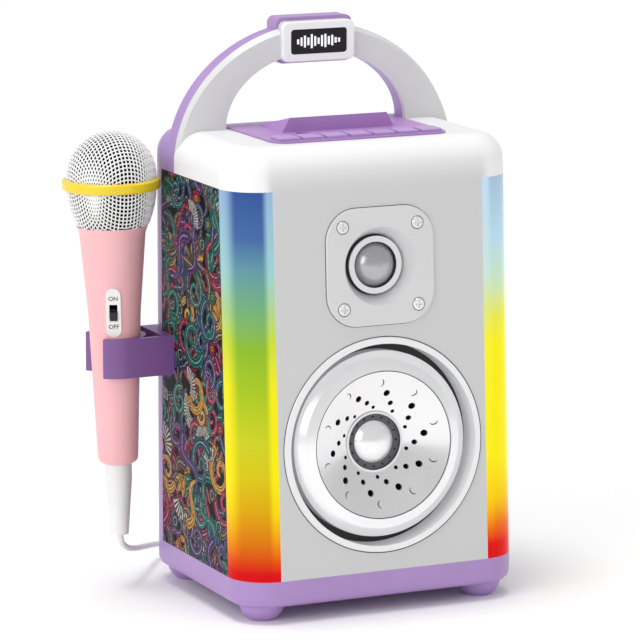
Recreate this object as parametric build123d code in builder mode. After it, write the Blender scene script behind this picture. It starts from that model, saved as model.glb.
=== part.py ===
"""Portable karaoke speaker with light columns, a carrying handle and a wired microphone.

Frame: X runs to the right seen from the front, Y runs to the back and Z runs up. The origin is
the centre of the base tray's flat underside; the feet stand below it. Lengths are millimetres.
"""

import os
from math import atan2, cos, degrees, hypot, pi, radians, sin, sqrt, tan

from build123d import *

os.makedirs("parts", exist_ok=True)

# ---- cabinet ---------------------------------------------------------------------------------
body_width = 155.0
body_depth = 125.0
corner_radius = 20.0
base_height = 14.0
base_edge_radius = 5.0
column_height = 194.0  # height of the light columns and the side panels
cover_height = 20.8  # from the columns up to the flat top
cover_edge_radius = 14.0
rear_top_radius = 24.0
front_lean = 3.2  # degrees that the front face leans back
wall = 3.0
seam_y = 24.5  # parting plane between front and rear mouldings above the columns
fit_gap = 0.3  # play between mouldings that drop into one another
side_panel_thickness = 1.2
side_panel_rear_y = 41.0

# ---- feet and fasteners ----------------------------------------------------------------------
foot_height = 8.0
foot_inset = 17.0
foot_top_radius = 11.5
foot_bottom_radius = 6.5
screw_radius = 1.45
screw_hole_radius = 1.5
screw_pass_radius = 1.8
screw_head_radius = 3.0
screw_head_height = 2.2
screw_recess_radius = 3.5
boss_radius = 4.5
base_screw_x = 38.0
base_screw_length = 9.0
base_screw_grip = 4.0  # tray material under a base screw's head
base_boss_height = 14.0
housing_screw_x = 48.5
housing_screw_low = 30.0
housing_screw_high = 198.0
housing_screw_length = 18.0
housing_screw_grip = 8.0
front_boss_setback = 26.5  # from the front's foot back to where the front bosses end
inner_screw_length = 8.0
driver_slot_width = 0.9
driver_slot_length = 3.8
driver_slot_depth = 1.1

# ---- handle ----------------------------------------------------------------------------------
handle_front_y = 21.0
handle_rear_y = 36.0
handle_centre_drop = 17.8  # the outer arch's centre lies this far under the flat top
handle_outer_rise = 69.5
handle_outer_bevel_x = 1.1
handle_outer_bevel_z = 2.4
handle_inner_half_width = 50.4
handle_inner_rise = 37.5
handle_edge_radius = 2.5
badge_width = 40.0
badge_height = 20.5
badge_centre_height = 42.9  # above the flat top
badge_corner_radius = 3.5
badge_rear_width = 42.0
badge_rear_height = 23.5
badge_rear_rise = 0.3
badge_front_y = 18.0
display_width = 31.4
display_height = 12.7
display_recess = 0.8
display_thickness = 1.2

# ---- light columns ---------------------------------------------------------------------------
pipe_thickness = 2.5
led_board_width = 10.0
led_board_thickness = 1.2
led_board_margin = 4.0
led_size = 3.5
led_thickness = 1.4
led_count = 10

# ---- tweeter ---------------------------------------------------------------------------------
tweeter_gap = 6.1  # from the woofer's trim ring up to the tweeter's plate
tweeter_plate_size = 59.1
tweeter_plate_radius = 16.5
tweeter_plate_thickness = 3.0
tweeter_plate_proud = 1.2
tweeter_hole_radius = 19.7
tweeter_throat_radius = 15.3
tweeter_throat_depth = 9.0
tweeter_horn_wall = 1.5
tweeter_screw_spacing = 41.0
tweeter_screw_recess = 1.6
tweeter_boss_radius = 3.5
tweeter_boss_length = 10.0
tweeter_ring_radius = 14.5
tweeter_ring_depth = 6.3
tweeter_dome_radius = 11.6
tweeter_dome_rise = 7.5
tweeter_magnet_radius = 20.0
tweeter_magnet_length = 14.0

# ---- woofer ----------------------------------------------------------------------------------
woofer_height = 63.8  # up the front face, from the base
woofer_trim_radius = 54.4
woofer_well_radius = 51.0
woofer_well_depth = 12.0
woofer_tube_wall = 1.5
woofer_screw_offset = 41.7
woofer_boss_radius = 4.0
woofer_trim_proud = 1.0
woofer_surround_radius = 47.0
woofer_surround_drop = 4.6
woofer_surround_wall = 1.5
woofer_crest_radius = 42.5
woofer_crest_drop = 1.2
woofer_surround_rise = 0.9
woofer_surround_seat = 4.0  # depth at which the cone's lip is glued under the surround
woofer_cone_radius = 37.0
woofer_hub_radius = 15.4
woofer_hub_depth = 10.5
woofer_cone_rim_rise = 0.4
woofer_cone_lip = 4.5
woofer_cone_thickness = 1.2
woofer_former_wall = 1.1
woofer_former_length = 31.5
woofer_seat_depth = 11.6
woofer_seat_thickness = 1.0
woofer_groove = 0.5
woofer_dome_radius = 10.6
woofer_dome_rise = 5.0
woofer_arms = 10
woofer_holes = [(25.5, 6.7, 1.65), (21.0, -4.3, 1.3), (17.8, -15.3, 0.95)]  # at, angle, radius
woofer_dot_radius = 12.6
woofer_dot_size = 0.55
woofer_dot_count = 16
woofer_basket_wall = 2.0
woofer_basket_depth = 22.0
woofer_basket_floor_radius = 31.0
woofer_window_count = 4
woofer_magnet_radius = 30.0
woofer_magnet_length = 16.0
woofer_gap_clearance = 0.4
woofer_gap_depth = 10.0

# ---- console ---------------------------------------------------------------------------------
console_half_width = 48.0
console_front_y = -35.5
console_corner_radius = 8.0
console_thickness = 2.4
console_proud = 0.8
console_ledge = 2.0
key_count = 7
key_pitch = 13.1
key_width = 10.8
key_depth = 11.0
key_front_setback = 3.2
key_rise = 1.6
key_travel = 1.0
key_gap = 0.3
key_flange = 0.8
key_flange_thickness = 1.0
key_stem_size = 4.0
key_stem_length = 4.0
key_overrun = 0.15  # room left above a switch plunger with the key pressed home
rest_bottom_width = 62.0
rest_top_width = 54.0
rest_height = 7.3
rest_front_y = -5.0
status_x = -22.0
status_y = -12.0
status_radius = 4.5
status_recess = 0.6
status_lens_thickness = 1.2
status_lip = 0.7

# ---- electronics -----------------------------------------------------------------------------
board_thickness = 1.6
board_post_radius = 3.5
tact_size = 6.0
tact_height = 3.0
plunger_radius = 1.6
plunger_rise = 1.0
key_board_width = 88.0
key_board_front_y = -31.0
key_board_depth = 20.0
key_board_screw_x = 38.0
key_board_screw_y = -15.5
main_board_width = 84.0
main_board_height = 62.0
main_board_bottom = 60.0  # above the base
main_board_gap = 14.0  # from the back wall
main_board_screw_margin = 5.0
cell_radius = 9.2
cell_length = 68.0
cell_count = 2
cell_y = 18.0
clamp_width = 16.0
clamp_thickness = 2.0
socket_row_z = 96.0
mic_socket_x = -30.0
aux_socket_x = -12.0
charge_port_x = 8.0
power_switch_x = 30.0
jack_radius = 4.0
jack_bore_radius = 1.8
jack_bore_length = 14.0
jack_proud = 0.8
jack_body_size = 11.0
jack_body_gap = 1.0
port_width = 9.4
port_height = 3.6
port_wall = 1.0
port_depth = 7.0
port_tongue_width = 6.6
port_tongue_height = 0.8
switch_slot_width = 13.0
switch_slot_height = 6.0
switch_knob_width = 7.0
switch_knob_height = 5.2
switch_knob_proud = 1.0
switch_plate_cover = 22.0
switch_plate_rise = 9.0
switch_plate_wall = 1.5
switch_body_width = 20.0
switch_body_height = 8.0
switch_gap = 0.2
switch_travel = 5.0
chip_spots = [(-20.0, 78.0), (12.0, 108.0), (22.0, 78.0)]
chip_size = 11.0
chip_thickness = 1.5

# ---- microphone ------------------------------------------------------------------------------
mic_standoff = 26.0  # from the cabinet's side out to the microphone's axis
mic_y = 41.0
mic_lean = 1.03  # degrees that the microphone's top leans to the left
mic_lean_z = 130.0  # height at which the leaning axis passes over mic_x and mic_y
mic_ball_z = 202.2
mic_ball_radius = 23.0
mic_ball_rise = 27.0
mic_mesh_thickness = 1.2
mic_collar_z = 180.9
mic_collar_radius = 18.2
mic_neck_z = 176.9
mic_neck_radius = 16.8
mic_waist_z = 134.9
mic_waist_radius = 13.3
mic_end_z = 58.0
mic_end_radius = 10.2
mic_end_fillet = 3.0
mic_wall = 2.2
mic_shoulder_drop = 2.0
mic_ball_seat = 0.6
capsule_tube_radius = 9.0
capsule_rise = 4.0
mic_band_radius = 24.9
mic_band_height = 5.4
mic_azimuth = -24.0  # direction that the switch faces, from straight ahead towards the left
switch_plate_width = 7.5
switch_plate_length = 25.4
switch_plate_centre_z = 138.1
switch_plate_proud = 0.5
switch_plate_depth = 1.6
slider_slot_width = 4.1
slider_slot_length = 8.5
slider_length = 4.4
slider_proud = 0.9
slider_play = 0.2
slider_flange = 0.8
slider_travel = 3.4
relief_length = 37.5
relief_top_radius = 6.9
relief_straight = 8.0
relief_end_radius = 4.5
relief_spigot_radius = 4.0
cord_radius = 1.6
cord_length = 1200.0
cord_run_out = 4.6  # straight cord under the strain relief
coil_x = -4.0
coil_y = 146.9
coil_diameters = 11.0  # across the middle of the turns
coil_strands = 3  # side by side and one on another
tie_width = 7.0
tie_thickness = 0.8
tie_slack = 0.7
plug_radius = 4.0
plug_length = 18.0
plug_neck_radius = 2.4
plug_neck_length = 8.0
plug_tip_radius = 1.7
plug_tip_length = 13.5

# ---- clip ------------------------------------------------------------------------------------
clip_bottom = 104.4
clip_height = 20.1
clip_outer_radius = 16.2
clip_side_wall = 2.6
clip_plate = 5.5
clip_mouth_angle = 46.0
clip_screw_y = 33.0
clip_screw_spread = 12.0

# ---- derived sizes ---------------------------------------------------------------------------
half_width = body_width / 2
mic_x = -(half_width + mic_standoff)
tweeter_height = woofer_height + woofer_trim_radius + tweeter_gap + tweeter_plate_size / 2
front_y = -body_depth / 2
rear_y = body_depth / 2
front_boss_end_y = front_y + front_boss_setback
column_top = base_height + column_height
body_top = column_top + cover_height
slope = tan(radians(front_lean))
lean_direction = Vector(0, sin(radians(front_lean)), cos(radians(front_lean)))
face_normal = Vector(0, -cos(radians(front_lean)), sin(radians(front_lean)))
far = 2 * (body_width + body_depth)


def front_at(z):
    """Y of the leaning front face at a height."""
    return front_y + (z - base_height) * slope


def along_lean(height):
    """Length of a slanted extrusion that rises by a height."""
    return height / cos(radians(front_lean))


def face_point(across, up, out):
    """Point given across and up the front face and out of it."""
    base = Vector(across, front_y, base_height)
    return base + lean_direction * up + face_normal * out


def face_plane(up, out):
    """Sketch plane parallel to the front face, centred across it: X is right, Y is up the face."""
    return Plane(origin=face_point(0, up, out), x_dir=(1, 0, 0), z_dir=face_normal)


def turning_plane(up):
    """Sketch plane through a speaker's axis: X is the radius, Y points out of the front face."""
    return Plane(origin=face_point(0, up, 0), x_dir=(1, 0, 0), z_dir=-lean_direction)


def turning_axis(up):
    """Axis of a speaker that looks out of the front face."""
    return Axis(face_point(0, up, 0), face_normal)


def body_block(inset, bottom, top):
    """Cabinet volume between two heights, drawn in by an inset; only its front leans."""
    length = far
    radius = corner_radius - inset
    with BuildPart() as block:
        with BuildSketch(Plane.XY.offset(bottom)):
            with Locations((0, front_at(bottom) + inset + length / 2)):
                RectangleRounded(body_width - 2 * inset, length, radius)
        extrude(amount=along_lean(top - bottom), dir=lean_direction)
        with BuildSketch(Plane.XY.offset(bottom)):
            with Locations((0, rear_y - inset - length / 2)):
                RectangleRounded(body_width - 2 * inset, length, radius)
        extrude(amount=top - bottom, mode=Mode.INTERSECT)
    return block.part


def leaning_region(setback, bottom, top):
    """Everything behind a plane that leans like the front face, a setback behind it."""
    with BuildPart() as region:
        with BuildSketch(Plane.XY.offset(bottom)):
            with Locations((0, front_at(bottom) + setback + far / 2)):
                Rectangle(far, far)
        extrude(amount=along_lean(top - bottom), dir=lean_direction)
    return region.part


def rounded_block(inset):
    """Cabinet volume with its rounded top, drawn in by an inset."""
    top = body_top - inset
    with BuildPart() as block:
        add(body_block(inset, base_height, top))
        fillet(block.faces().sort_by(Axis.Z)[-1].edges(), cover_edge_radius - inset)
        with BuildSketch(Plane.YZ.offset(-half_width)):
            radius = rear_top_radius - inset
            with BuildLine():
                Line((rear_y - inset, top - radius), (rear_y - inset + far, top - radius))
                Line((rear_y - inset + far, top - radius), (rear_y - inset + far, top + far))
                Line((rear_y - inset + far, top + far), (rear_y - inset - radius, top + far))
                Line((rear_y - inset - radius, top + far), (rear_y - inset - radius, top))
                RadiusArc((rear_y - inset - radius, top), (rear_y - inset, top - radius), radius)
            make_face()
        extrude(amount=body_width, mode=Mode.SUBTRACT)
    return block.part


def finish(builder, name):
    """Label a piece and write it to its own file."""
    builder.part.label = name
    export_step(builder.part, f"parts/{name}.step")


cabinet_outer = rounded_block(0)
cabinet_inner = rounded_block(wall)
column_region = leaning_region(corner_radius + wall + fit_gap, base_height, column_top)
pipe_x = half_width - corner_radius
deck_top = body_top + console_proud
deck_bottom = deck_top - console_thickness
handle_centre_z = body_top - handle_centre_drop
badge_z = body_top + badge_centre_height
housing_head_y = front_boss_end_y + housing_screw_grip
main_board_y = rear_y - wall - main_board_gap
clip_mid_z = clip_bottom + clip_height / 2
key_y = console_front_y + key_front_setback + key_depth / 2
key_xs = [(number - (key_count - 1) / 2) * key_pitch for number in range(key_count)]


# ---- shared sketches -------------------------------------------------------------------------
def console_outline(inset, rear):
    """Draw the console's outline, drawn in by an inset and cut straight at its rear."""
    with Locations((0, console_front_y + inset + far / 2)):
        RectangleRounded(2 * (console_half_width - inset), far, console_corner_radius - inset)
    with Locations((0, rear + far / 2)):
        Rectangle(far, far, mode=Mode.SUBTRACT)


def facing_front(y):
    """Sketch plane that faces the front at a distance back: X is right, Y is up."""
    return Plane.XZ.offset(-y)


def arch(y_back, y_front, half_span, rise, front_half_span, front_rise, edge_radius):
    """Arched handle between two depths, with its legs running down to the arch's centre."""
    with BuildPart() as solid:
        with BuildSketch(facing_front(y_back)):
            with Locations((0, handle_centre_z)):
                Ellipse(half_span, rise)
        with BuildSketch(facing_front(y_front)):
            with Locations((0, handle_centre_z)):
                Ellipse(front_half_span, front_rise)
        loft(ruled=True)
        with BuildSketch(facing_front(y_back)):
            with Locations((0, body_top)):
                Ellipse(handle_inner_half_width, handle_inner_rise)
            with Locations((0, handle_centre_z - far / 2)):
                Rectangle(far, far)
        extrude(amount=y_back - y_front, mode=Mode.SUBTRACT)
        if edge_radius > 0:
            rim = solid.edges().filter_by_position(Axis.Y, y_back, y_back)
            fillet(rim.filter_by(GeomType.LINE, reverse=True), edge_radius)
    return solid.part


handle_front_arch = arch(
    seam_y,
    handle_front_y,
    half_width,
    handle_outer_rise,
    half_width - handle_outer_bevel_x,
    handle_outer_rise - handle_outer_bevel_z,
    0,
)
handle_rear_arch = arch(
    handle_rear_y,
    seam_y,
    half_width,
    handle_outer_rise,
    half_width,
    handle_outer_rise,
    handle_edge_radius,
)

housing_screw_spots = [
    (side * housing_screw_x, z) for z in (housing_screw_low, housing_screw_high) for side in (-1, 1)
]
foot_spots = [
    (sx * (half_width - foot_inset), sy * (rear_y - foot_inset)) for sx in (-1, 1) for sy in (-1, 1)
]
base_boss_y = rear_y - wall - boss_radius + 1
base_screw_spots = [(sx * base_screw_x, sy * base_boss_y) for sx in (-1, 1) for sy in (-1, 1)]
tweeter_screw_spots = [
    (sx * tweeter_screw_spacing / 2, sy * tweeter_screw_spacing / 2)
    for sx in (-1, 1)
    for sy in (-1, 1)
]
woofer_screw_spots = [
    (sx * woofer_screw_offset, sy * woofer_screw_offset) for sx in (-1, 1) for sy in (-1, 1)
]
key_board_screw_spots = [(x, key_board_screw_y) for x in (-key_board_screw_x, 0, key_board_screw_x)]
main_board_screw_x = main_board_width / 2 - main_board_screw_margin
main_board_screw_spots = [
    (side * main_board_screw_x, z)
    for z in (
        main_board_bottom + main_board_screw_margin,
        main_board_bottom + main_board_height - main_board_screw_margin,
    )
    for side in (-1, 1)
]
clip_screw_heights = [clip_mid_z + side * clip_screw_spread / 2 for side in (-1, 1)]

with BuildPart() as rear_region_builder:
    add(column_region)
    with Locations((0, seam_y + far / 2, column_top + far / 2)):
        Box(far, far, far)
rear_region = rear_region_builder.part


# ---- front housing: front panel, column channels and the front of the cover -------------------
flange_width = corner_radius + wall - side_panel_thickness
flange_room = key_flange + key_gap
port_outer_width = port_width + 2 * port_wall
port_outer_height = port_height + 2 * port_wall
housing_boss_hole_end = front_boss_end_y - (housing_screw_length - housing_screw_grip) - 1

with BuildPart() as front_housing:
    add(cabinet_outer)
    add(cabinet_inner, mode=Mode.SUBTRACT)
    with Locations((0, seam_y - far / 2, column_top + far / 2)):
        Box(far, far, far, mode=Mode.INTERSECT)
    with BuildSketch(Plane.XY.offset(base_height)):
        with Locations((0, front_y + wall / 2)):
            Rectangle(2 * pipe_x, wall)
        for side in (-1, 1):
            with Locations((side * (pipe_x - wall / 2), front_y + (corner_radius + wall) / 2)):
                Rectangle(wall, corner_radius + wall)
            flange_x = side * (pipe_x - wall + flange_width / 2)
            with Locations((flange_x, front_y + corner_radius + wall / 2)):
                Rectangle(flange_width, wall)
    extrude(amount=along_lean(column_height), dir=lean_direction)
    # bosses for the long screws that hold the rear housing
    for x, z in housing_screw_spots:
        with BuildSketch(facing_front(front_boss_end_y)):
            with Locations((x, z)):
                Circle(boss_radius)
        extrude(amount=front_boss_end_y - front_at(z) - wall / 2)
        with BuildSketch(facing_front(front_boss_end_y)):
            with Locations((x, z)):
                Circle(screw_hole_radius)
        extrude(amount=front_boss_end_y - housing_boss_hole_end, mode=Mode.SUBTRACT)
    # bosses for the base screws at the foot of the panel
    for x, y in base_screw_spots:
        if y < 0:
            with Locations((x, y, base_height)):
                Cylinder(boss_radius, base_boss_height, align=(Align.CENTER, Align.CENTER, Align.MIN))
                Cylinder(
                    screw_hole_radius,
                    base_boss_height - 1,
                    align=(Align.CENTER, Align.CENTER, Align.MIN),
                    mode=Mode.SUBTRACT,
                )
    # bosses that the woofer's basket is screwed to, around the well
    with BuildSketch(face_plane(woofer_height, -wall / 2)):
        with Locations(woofer_screw_spots):
            Circle(woofer_boss_radius)
    extrude(amount=-(woofer_well_depth - wall / 2))
    with BuildSketch(face_plane(woofer_height, -woofer_well_depth)):
        with Locations(woofer_screw_spots):
            Circle(screw_hole_radius)
    extrude(amount=woofer_well_depth - wall, mode=Mode.SUBTRACT)
    # bosses behind the tweeter's plate
    with BuildSketch(face_plane(tweeter_height, -wall / 2)):
        with Locations(tweeter_screw_spots):
            Circle(tweeter_boss_radius)
    extrude(amount=-(tweeter_boss_length - wall / 2))
    # openings for the woofer and the tweeter
    with BuildSketch(face_plane(woofer_height, 1)):
        Circle(woofer_well_radius + woofer_tube_wall + fit_gap)
    extrude(amount=-(wall + 2), mode=Mode.SUBTRACT)
    with BuildSketch(face_plane(tweeter_height, 1)):
        RectangleRounded(
            tweeter_plate_size + 2 * fit_gap,
            tweeter_plate_size + 2 * fit_gap,
            tweeter_plate_radius + fit_gap,
        )
    extrude(amount=-(1 + tweeter_plate_thickness - tweeter_plate_proud), mode=Mode.SUBTRACT)
    with BuildSketch(face_plane(tweeter_height, 1)):
        Circle(tweeter_magnet_radius + fit_gap)
        with Locations(tweeter_screw_spots):
            Circle(screw_hole_radius)
    extrude(amount=-tweeter_boss_length, mode=Mode.SUBTRACT)
    # opening and seat for the console panel
    with BuildSketch(Plane.XY.offset(body_top - wall - 1)):
        console_outline(console_ledge, seam_y + 1)
        with Locations([(x, key_y) for x in key_xs]):
            Rectangle(key_width + 2 * flange_room, key_depth + 2 * flange_room)
    extrude(amount=wall + 2, mode=Mode.SUBTRACT)
    with BuildSketch(Plane.XY.offset(deck_bottom)):
        console_outline(-fit_gap, seam_y + 1)
    extrude(amount=console_thickness + 1, mode=Mode.SUBTRACT)
finish(front_housing, "front_housing")

# ---- rear housing: back, rear corners, top strip and the rear half of the handle ---------------
with BuildPart() as rear_housing:
    add(cabinet_outer)
    add(cabinet_inner, mode=Mode.SUBTRACT)
    add(rear_region, mode=Mode.INTERSECT)
    add(handle_rear_arch)
    add(cabinet_inner, mode=Mode.SUBTRACT)
    with BuildSketch(facing_front(handle_rear_y)):
        with Locations((0, badge_z + badge_rear_rise)):
            RectangleRounded(
                badge_rear_width,
                badge_rear_height,
                badge_corner_radius,
            )
    extrude(amount=handle_rear_y - seam_y)
    # seats for the side panels
    for side in (-1, 1):
        x = side * (half_width - side_panel_thickness + far / 2)
        with Locations((x, side_panel_rear_y - far / 2, base_height + column_height / 2)):
            Box(far, far, column_height, mode=Mode.SUBTRACT)
    # posts that meet the front bosses, with the screw heads deep inside
    for x, z in housing_screw_spots:
        with BuildSketch(facing_front(rear_y - wall / 2)):
            with Locations((x, z)):
                Circle(boss_radius + 0.5)
        extrude(amount=rear_y - wall / 2 - front_boss_end_y)
        with BuildSketch(facing_front(rear_y + 1)):
            with Locations((x, z)):
                Circle(screw_recess_radius)
        extrude(amount=rear_y + 1 - housing_head_y, mode=Mode.SUBTRACT)
        with BuildSketch(facing_front(rear_y + 1)):
            with Locations((x, z)):
                Circle(screw_pass_radius)
        extrude(amount=rear_y + 1 - front_boss_end_y + 1, mode=Mode.SUBTRACT)
    for x, y in base_screw_spots:
        if y > 0:
            with Locations((x, y, base_height)):
                Cylinder(boss_radius, base_boss_height, align=(Align.CENTER, Align.CENTER, Align.MIN))
                Cylinder(
                    screw_hole_radius,
                    base_boss_height - 1,
                    align=(Align.CENTER, Align.CENTER, Align.MIN),
                    mode=Mode.SUBTRACT,
                )
    # posts that carry the main board
    with BuildSketch(facing_front(rear_y - wall / 2)):
        with Locations(main_board_screw_spots):
            Circle(board_post_radius)
    extrude(amount=main_board_gap + wall / 2)
    with BuildSketch(facing_front(main_board_y)):
        with Locations(main_board_screw_spots):
            Circle(screw_hole_radius)
    extrude(amount=-(inner_screw_length - board_thickness + 1), mode=Mode.SUBTRACT)
    # socket holes, charging port and switch slot
    with BuildSketch(facing_front(rear_y + 1)):
        with Locations((mic_socket_x, socket_row_z), (aux_socket_x, socket_row_z)):
            Circle(jack_radius + fit_gap)
        with Locations((charge_port_x, socket_row_z)):
            SlotOverall(port_outer_width + 2 * fit_gap, port_outer_height + 2 * fit_gap)
        with Locations((power_switch_x, socket_row_z)):
            Rectangle(switch_slot_width, switch_slot_height)
    extrude(amount=wall + 2, mode=Mode.SUBTRACT)
    # holes for the clip's screws
    for z in clip_screw_heights:
        with Locations(Location((-half_width, clip_screw_y, z), (0, 90, 0))):
            Cylinder(screw_pass_radius, 4 * wall, mode=Mode.SUBTRACT)
finish(rear_housing, "rear_housing")

# ---- front half of the handle, with the badge --------------------------------------------------
with BuildPart() as handle_front:
    add(handle_front_arch)
    with BuildSketch(facing_front(seam_y)):
        with Locations((0, badge_z)):
            RectangleRounded(badge_width, badge_height, badge_corner_radius)
    extrude(amount=seam_y - handle_front_y)
    add(cabinet_outer, mode=Mode.SUBTRACT)
finish(handle_front, "handle_front")

badge_recess = display_recess + display_thickness

with BuildPart() as badge_bezel:
    with BuildSketch(facing_front(handle_front_y)):
        with Locations((0, badge_z)):
            RectangleRounded(badge_width, badge_height, badge_corner_radius)
    extrude(amount=handle_front_y - badge_front_y)
    front_edges = badge_bezel.faces().sort_by(Axis.Y)[0].edges()
    fillet(front_edges, display_recess)
    with BuildSketch(facing_front(badge_front_y + badge_recess)):
        with Locations((0, badge_z)):
            RectangleRounded(display_width, display_height, badge_corner_radius / 2)
    extrude(amount=badge_recess, mode=Mode.SUBTRACT)
finish(badge_bezel, "badge_bezel")

with BuildPart() as badge_display:
    with BuildSketch(facing_front(badge_front_y + badge_recess)):
        with Locations((0, badge_z)):
            RectangleRounded(display_width, display_height, badge_corner_radius / 2)
    extrude(amount=display_thickness)
finish(badge_display, "badge_display")

# ---- base tray, feet and their screws ----------------------------------------------------------
base_head_seat = base_height - base_screw_grip

with BuildPart() as base_tray:
    with BuildSketch(Plane.XY):
        RectangleRounded(body_width, body_depth, corner_radius)
    extrude(amount=base_height)
    fillet(base_tray.faces().sort_by(Axis.Z)[0].edges(), base_edge_radius)
    with BuildSketch(Plane.XY.offset(wall)):
        RectangleRounded(body_width - 2 * wall, body_depth - 2 * wall, corner_radius - wall)
    extrude(amount=base_height, mode=Mode.SUBTRACT)
    with BuildSketch(Plane.XY.offset(wall / 2)):
        with Locations(base_screw_spots):
            Circle(boss_radius)
    extrude(amount=base_height - wall / 2)
    with BuildSketch(Plane.XY.offset(-1)):
        with Locations(base_screw_spots):
            Circle(screw_recess_radius)
    extrude(amount=base_head_seat + 1, mode=Mode.SUBTRACT)
    with BuildSketch(Plane.XY.offset(-1)):
        with Locations(base_screw_spots + foot_spots):
            Circle(screw_pass_radius)
    extrude(amount=base_height + 2, mode=Mode.SUBTRACT)
finish(base_tray, "base_tray")

with BuildPart() as foot:
    with BuildSketch(Plane.XZ):
        with BuildLine():
            Line((0, 0), (foot_top_radius, 0))
            RadiusArc((foot_top_radius, 0), (foot_bottom_radius, -foot_height), foot_height + 2)
            Line((foot_bottom_radius, -foot_height), (0, -foot_height))
            Line((0, -foot_height), (0, 0))
        make_face()
    revolve(axis=Axis.Z)
    with BuildSketch(Plane.XY):
        Circle(screw_hole_radius)
    extrude(amount=-(base_screw_length - wall + 0.5), mode=Mode.SUBTRACT)

with BuildPart() as feet:
    with Locations(foot_spots):
        add(foot.part)
finish(feet, "feet")


def screw(length):
    """Self-tapping screw along Z: the head's underside is at zero and the shank runs down."""
    with BuildPart() as solid:
        with BuildSketch(Plane.XY):
            Circle(screw_head_radius)
        extrude(amount=screw_head_height)
        fillet(solid.faces().sort_by(Axis.Z)[-1].edges(), screw_head_height / 3)
        with BuildSketch(Plane.XY):
            Circle(screw_radius)
        extrude(amount=-length)
        with BuildSketch(Plane.XY.offset(screw_head_height - driver_slot_depth)):
            Rectangle(driver_slot_length, driver_slot_width)
            Rectangle(driver_slot_width, driver_slot_length)
        extrude(amount=screw_head_height, mode=Mode.SUBTRACT)
    return solid.part


base_screw = screw(base_screw_length)
housing_screw = screw(housing_screw_length)
inner_screw = screw(inner_screw_length)
heads_down = (180, 0, 0)
heads_back = (-90, 0, 0)
heads_front = (90, 0, 0)
heads_right = (0, 90, 0)

with BuildPart() as base_screws:
    with Locations([Location((x, y, base_head_seat), heads_down) for x, y in base_screw_spots]):
        add(base_screw)
    with Locations([Location((x, y, wall)) for x, y in foot_spots]):
        add(base_screw)
finish(base_screws, "base_screws")

with BuildPart() as housing_screws:
    with Locations([Location((x, housing_head_y, z), heads_back) for x, z in housing_screw_spots]):
        add(housing_screw)
finish(housing_screws, "housing_screws")

# ---- side panels, light pipes and light strips ---------------------------------------------------
panel_region = leaning_region(corner_radius, base_height, column_top)
led_board_y = corner_radius / 2 + 1

for side, name in ((-1, "left"), (1, "right")):
    with BuildPart() as side_panel:
        x = side * (half_width - side_panel_thickness / 2)
        with Locations((x, side_panel_rear_y - far / 2, base_height + column_height / 2)):
            Box(side_panel_thickness, far, column_height)
        add(panel_region, mode=Mode.INTERSECT)
        if side < 0:
            for z in clip_screw_heights:
                with Locations(Location((x, clip_screw_y, z), heads_right)):
                    Cylinder(screw_pass_radius, 4 * side_panel_thickness, mode=Mode.SUBTRACT)
    finish(side_panel, f"side_panel_{name}")

    with BuildPart() as light_pipe:
        with BuildSketch(Plane.XY.offset(base_height)):
            with Locations((side * pipe_x, front_y + corner_radius)):
                Circle(corner_radius)
                Circle(corner_radius - pipe_thickness, mode=Mode.SUBTRACT)
                with Locations((side * corner_radius / 2, -corner_radius / 2)):
                    Rectangle(corner_radius, corner_radius, mode=Mode.INTERSECT)
        extrude(amount=along_lean(column_height), dir=lean_direction)
    finish(light_pipe, f"light_pipe_{name}")

    with BuildPart() as led_strip:
        with BuildSketch(Plane.XY.offset(base_height)):
            with Locations((side * (pipe_x + led_board_thickness / 2), front_y + led_board_y)):
                Rectangle(led_board_thickness, led_board_width)
        extrude(amount=along_lean(column_height), dir=lean_direction)
        with Locations((0, 0, base_height), (0, 0, column_top)):
            Box(far, far, 2 * led_board_margin, mode=Mode.SUBTRACT)
        led_x = side * (pipe_x + led_board_thickness + led_thickness / 2)
        for number in range(led_count):
            z = base_height + column_height * (number + 0.5) / led_count
            with Locations((led_x, front_at(z) + led_board_y, z)):
                Box(led_thickness, led_size, led_size)
    finish(led_strip, f"led_strip_{name}")

# ---- tweeter -------------------------------------------------------------------------------------
plate_top = tweeter_plate_proud
plate_bottom = plate_top - tweeter_plate_thickness
throat_bottom = plate_top - tweeter_throat_depth
ring_top = plate_top - tweeter_ring_depth

with BuildPart() as tweeter_plate:
    with BuildSketch(face_plane(tweeter_height, plate_bottom)):
        RectangleRounded(tweeter_plate_size, tweeter_plate_size, tweeter_plate_radius)
    extrude(amount=tweeter_plate_thickness)
    fillet(tweeter_plate.faces().sort_by(Axis(face_point(0, 0, 0), face_normal))[-1].edges(), 0.6)
    with BuildSketch(turning_plane(tweeter_height)):
        Polygon(
            (tweeter_throat_radius, throat_bottom),
            (tweeter_throat_radius + tweeter_horn_wall, throat_bottom),
            (tweeter_hole_radius + tweeter_horn_wall, plate_top),
            (tweeter_hole_radius, plate_top),
            align=None,
        )
    revolve(axis=turning_axis(tweeter_height))
    with BuildSketch(turning_plane(tweeter_height)):
        Polygon(
            (0, throat_bottom - 1),
            (tweeter_throat_radius, throat_bottom - 1),
            (tweeter_throat_radius, throat_bottom),
            (tweeter_hole_radius, plate_top),
            (tweeter_hole_radius, plate_top + 1),
            (0, plate_top + 1),
            align=None,
        )
    revolve(axis=turning_axis(tweeter_height), mode=Mode.SUBTRACT)
    with BuildSketch(face_plane(tweeter_height, plate_top - tweeter_screw_recess)):
        with Locations(tweeter_screw_spots):
            Circle(screw_recess_radius)
    extrude(amount=tweeter_plate_thickness, mode=Mode.SUBTRACT)
    with BuildSketch(face_plane(tweeter_height, plate_top)):
        with Locations(tweeter_screw_spots):
            Circle(screw_pass_radius)
    extrude(amount=-2 * tweeter_plate_thickness, mode=Mode.SUBTRACT)
finish(tweeter_plate, "tweeter_plate")

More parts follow.
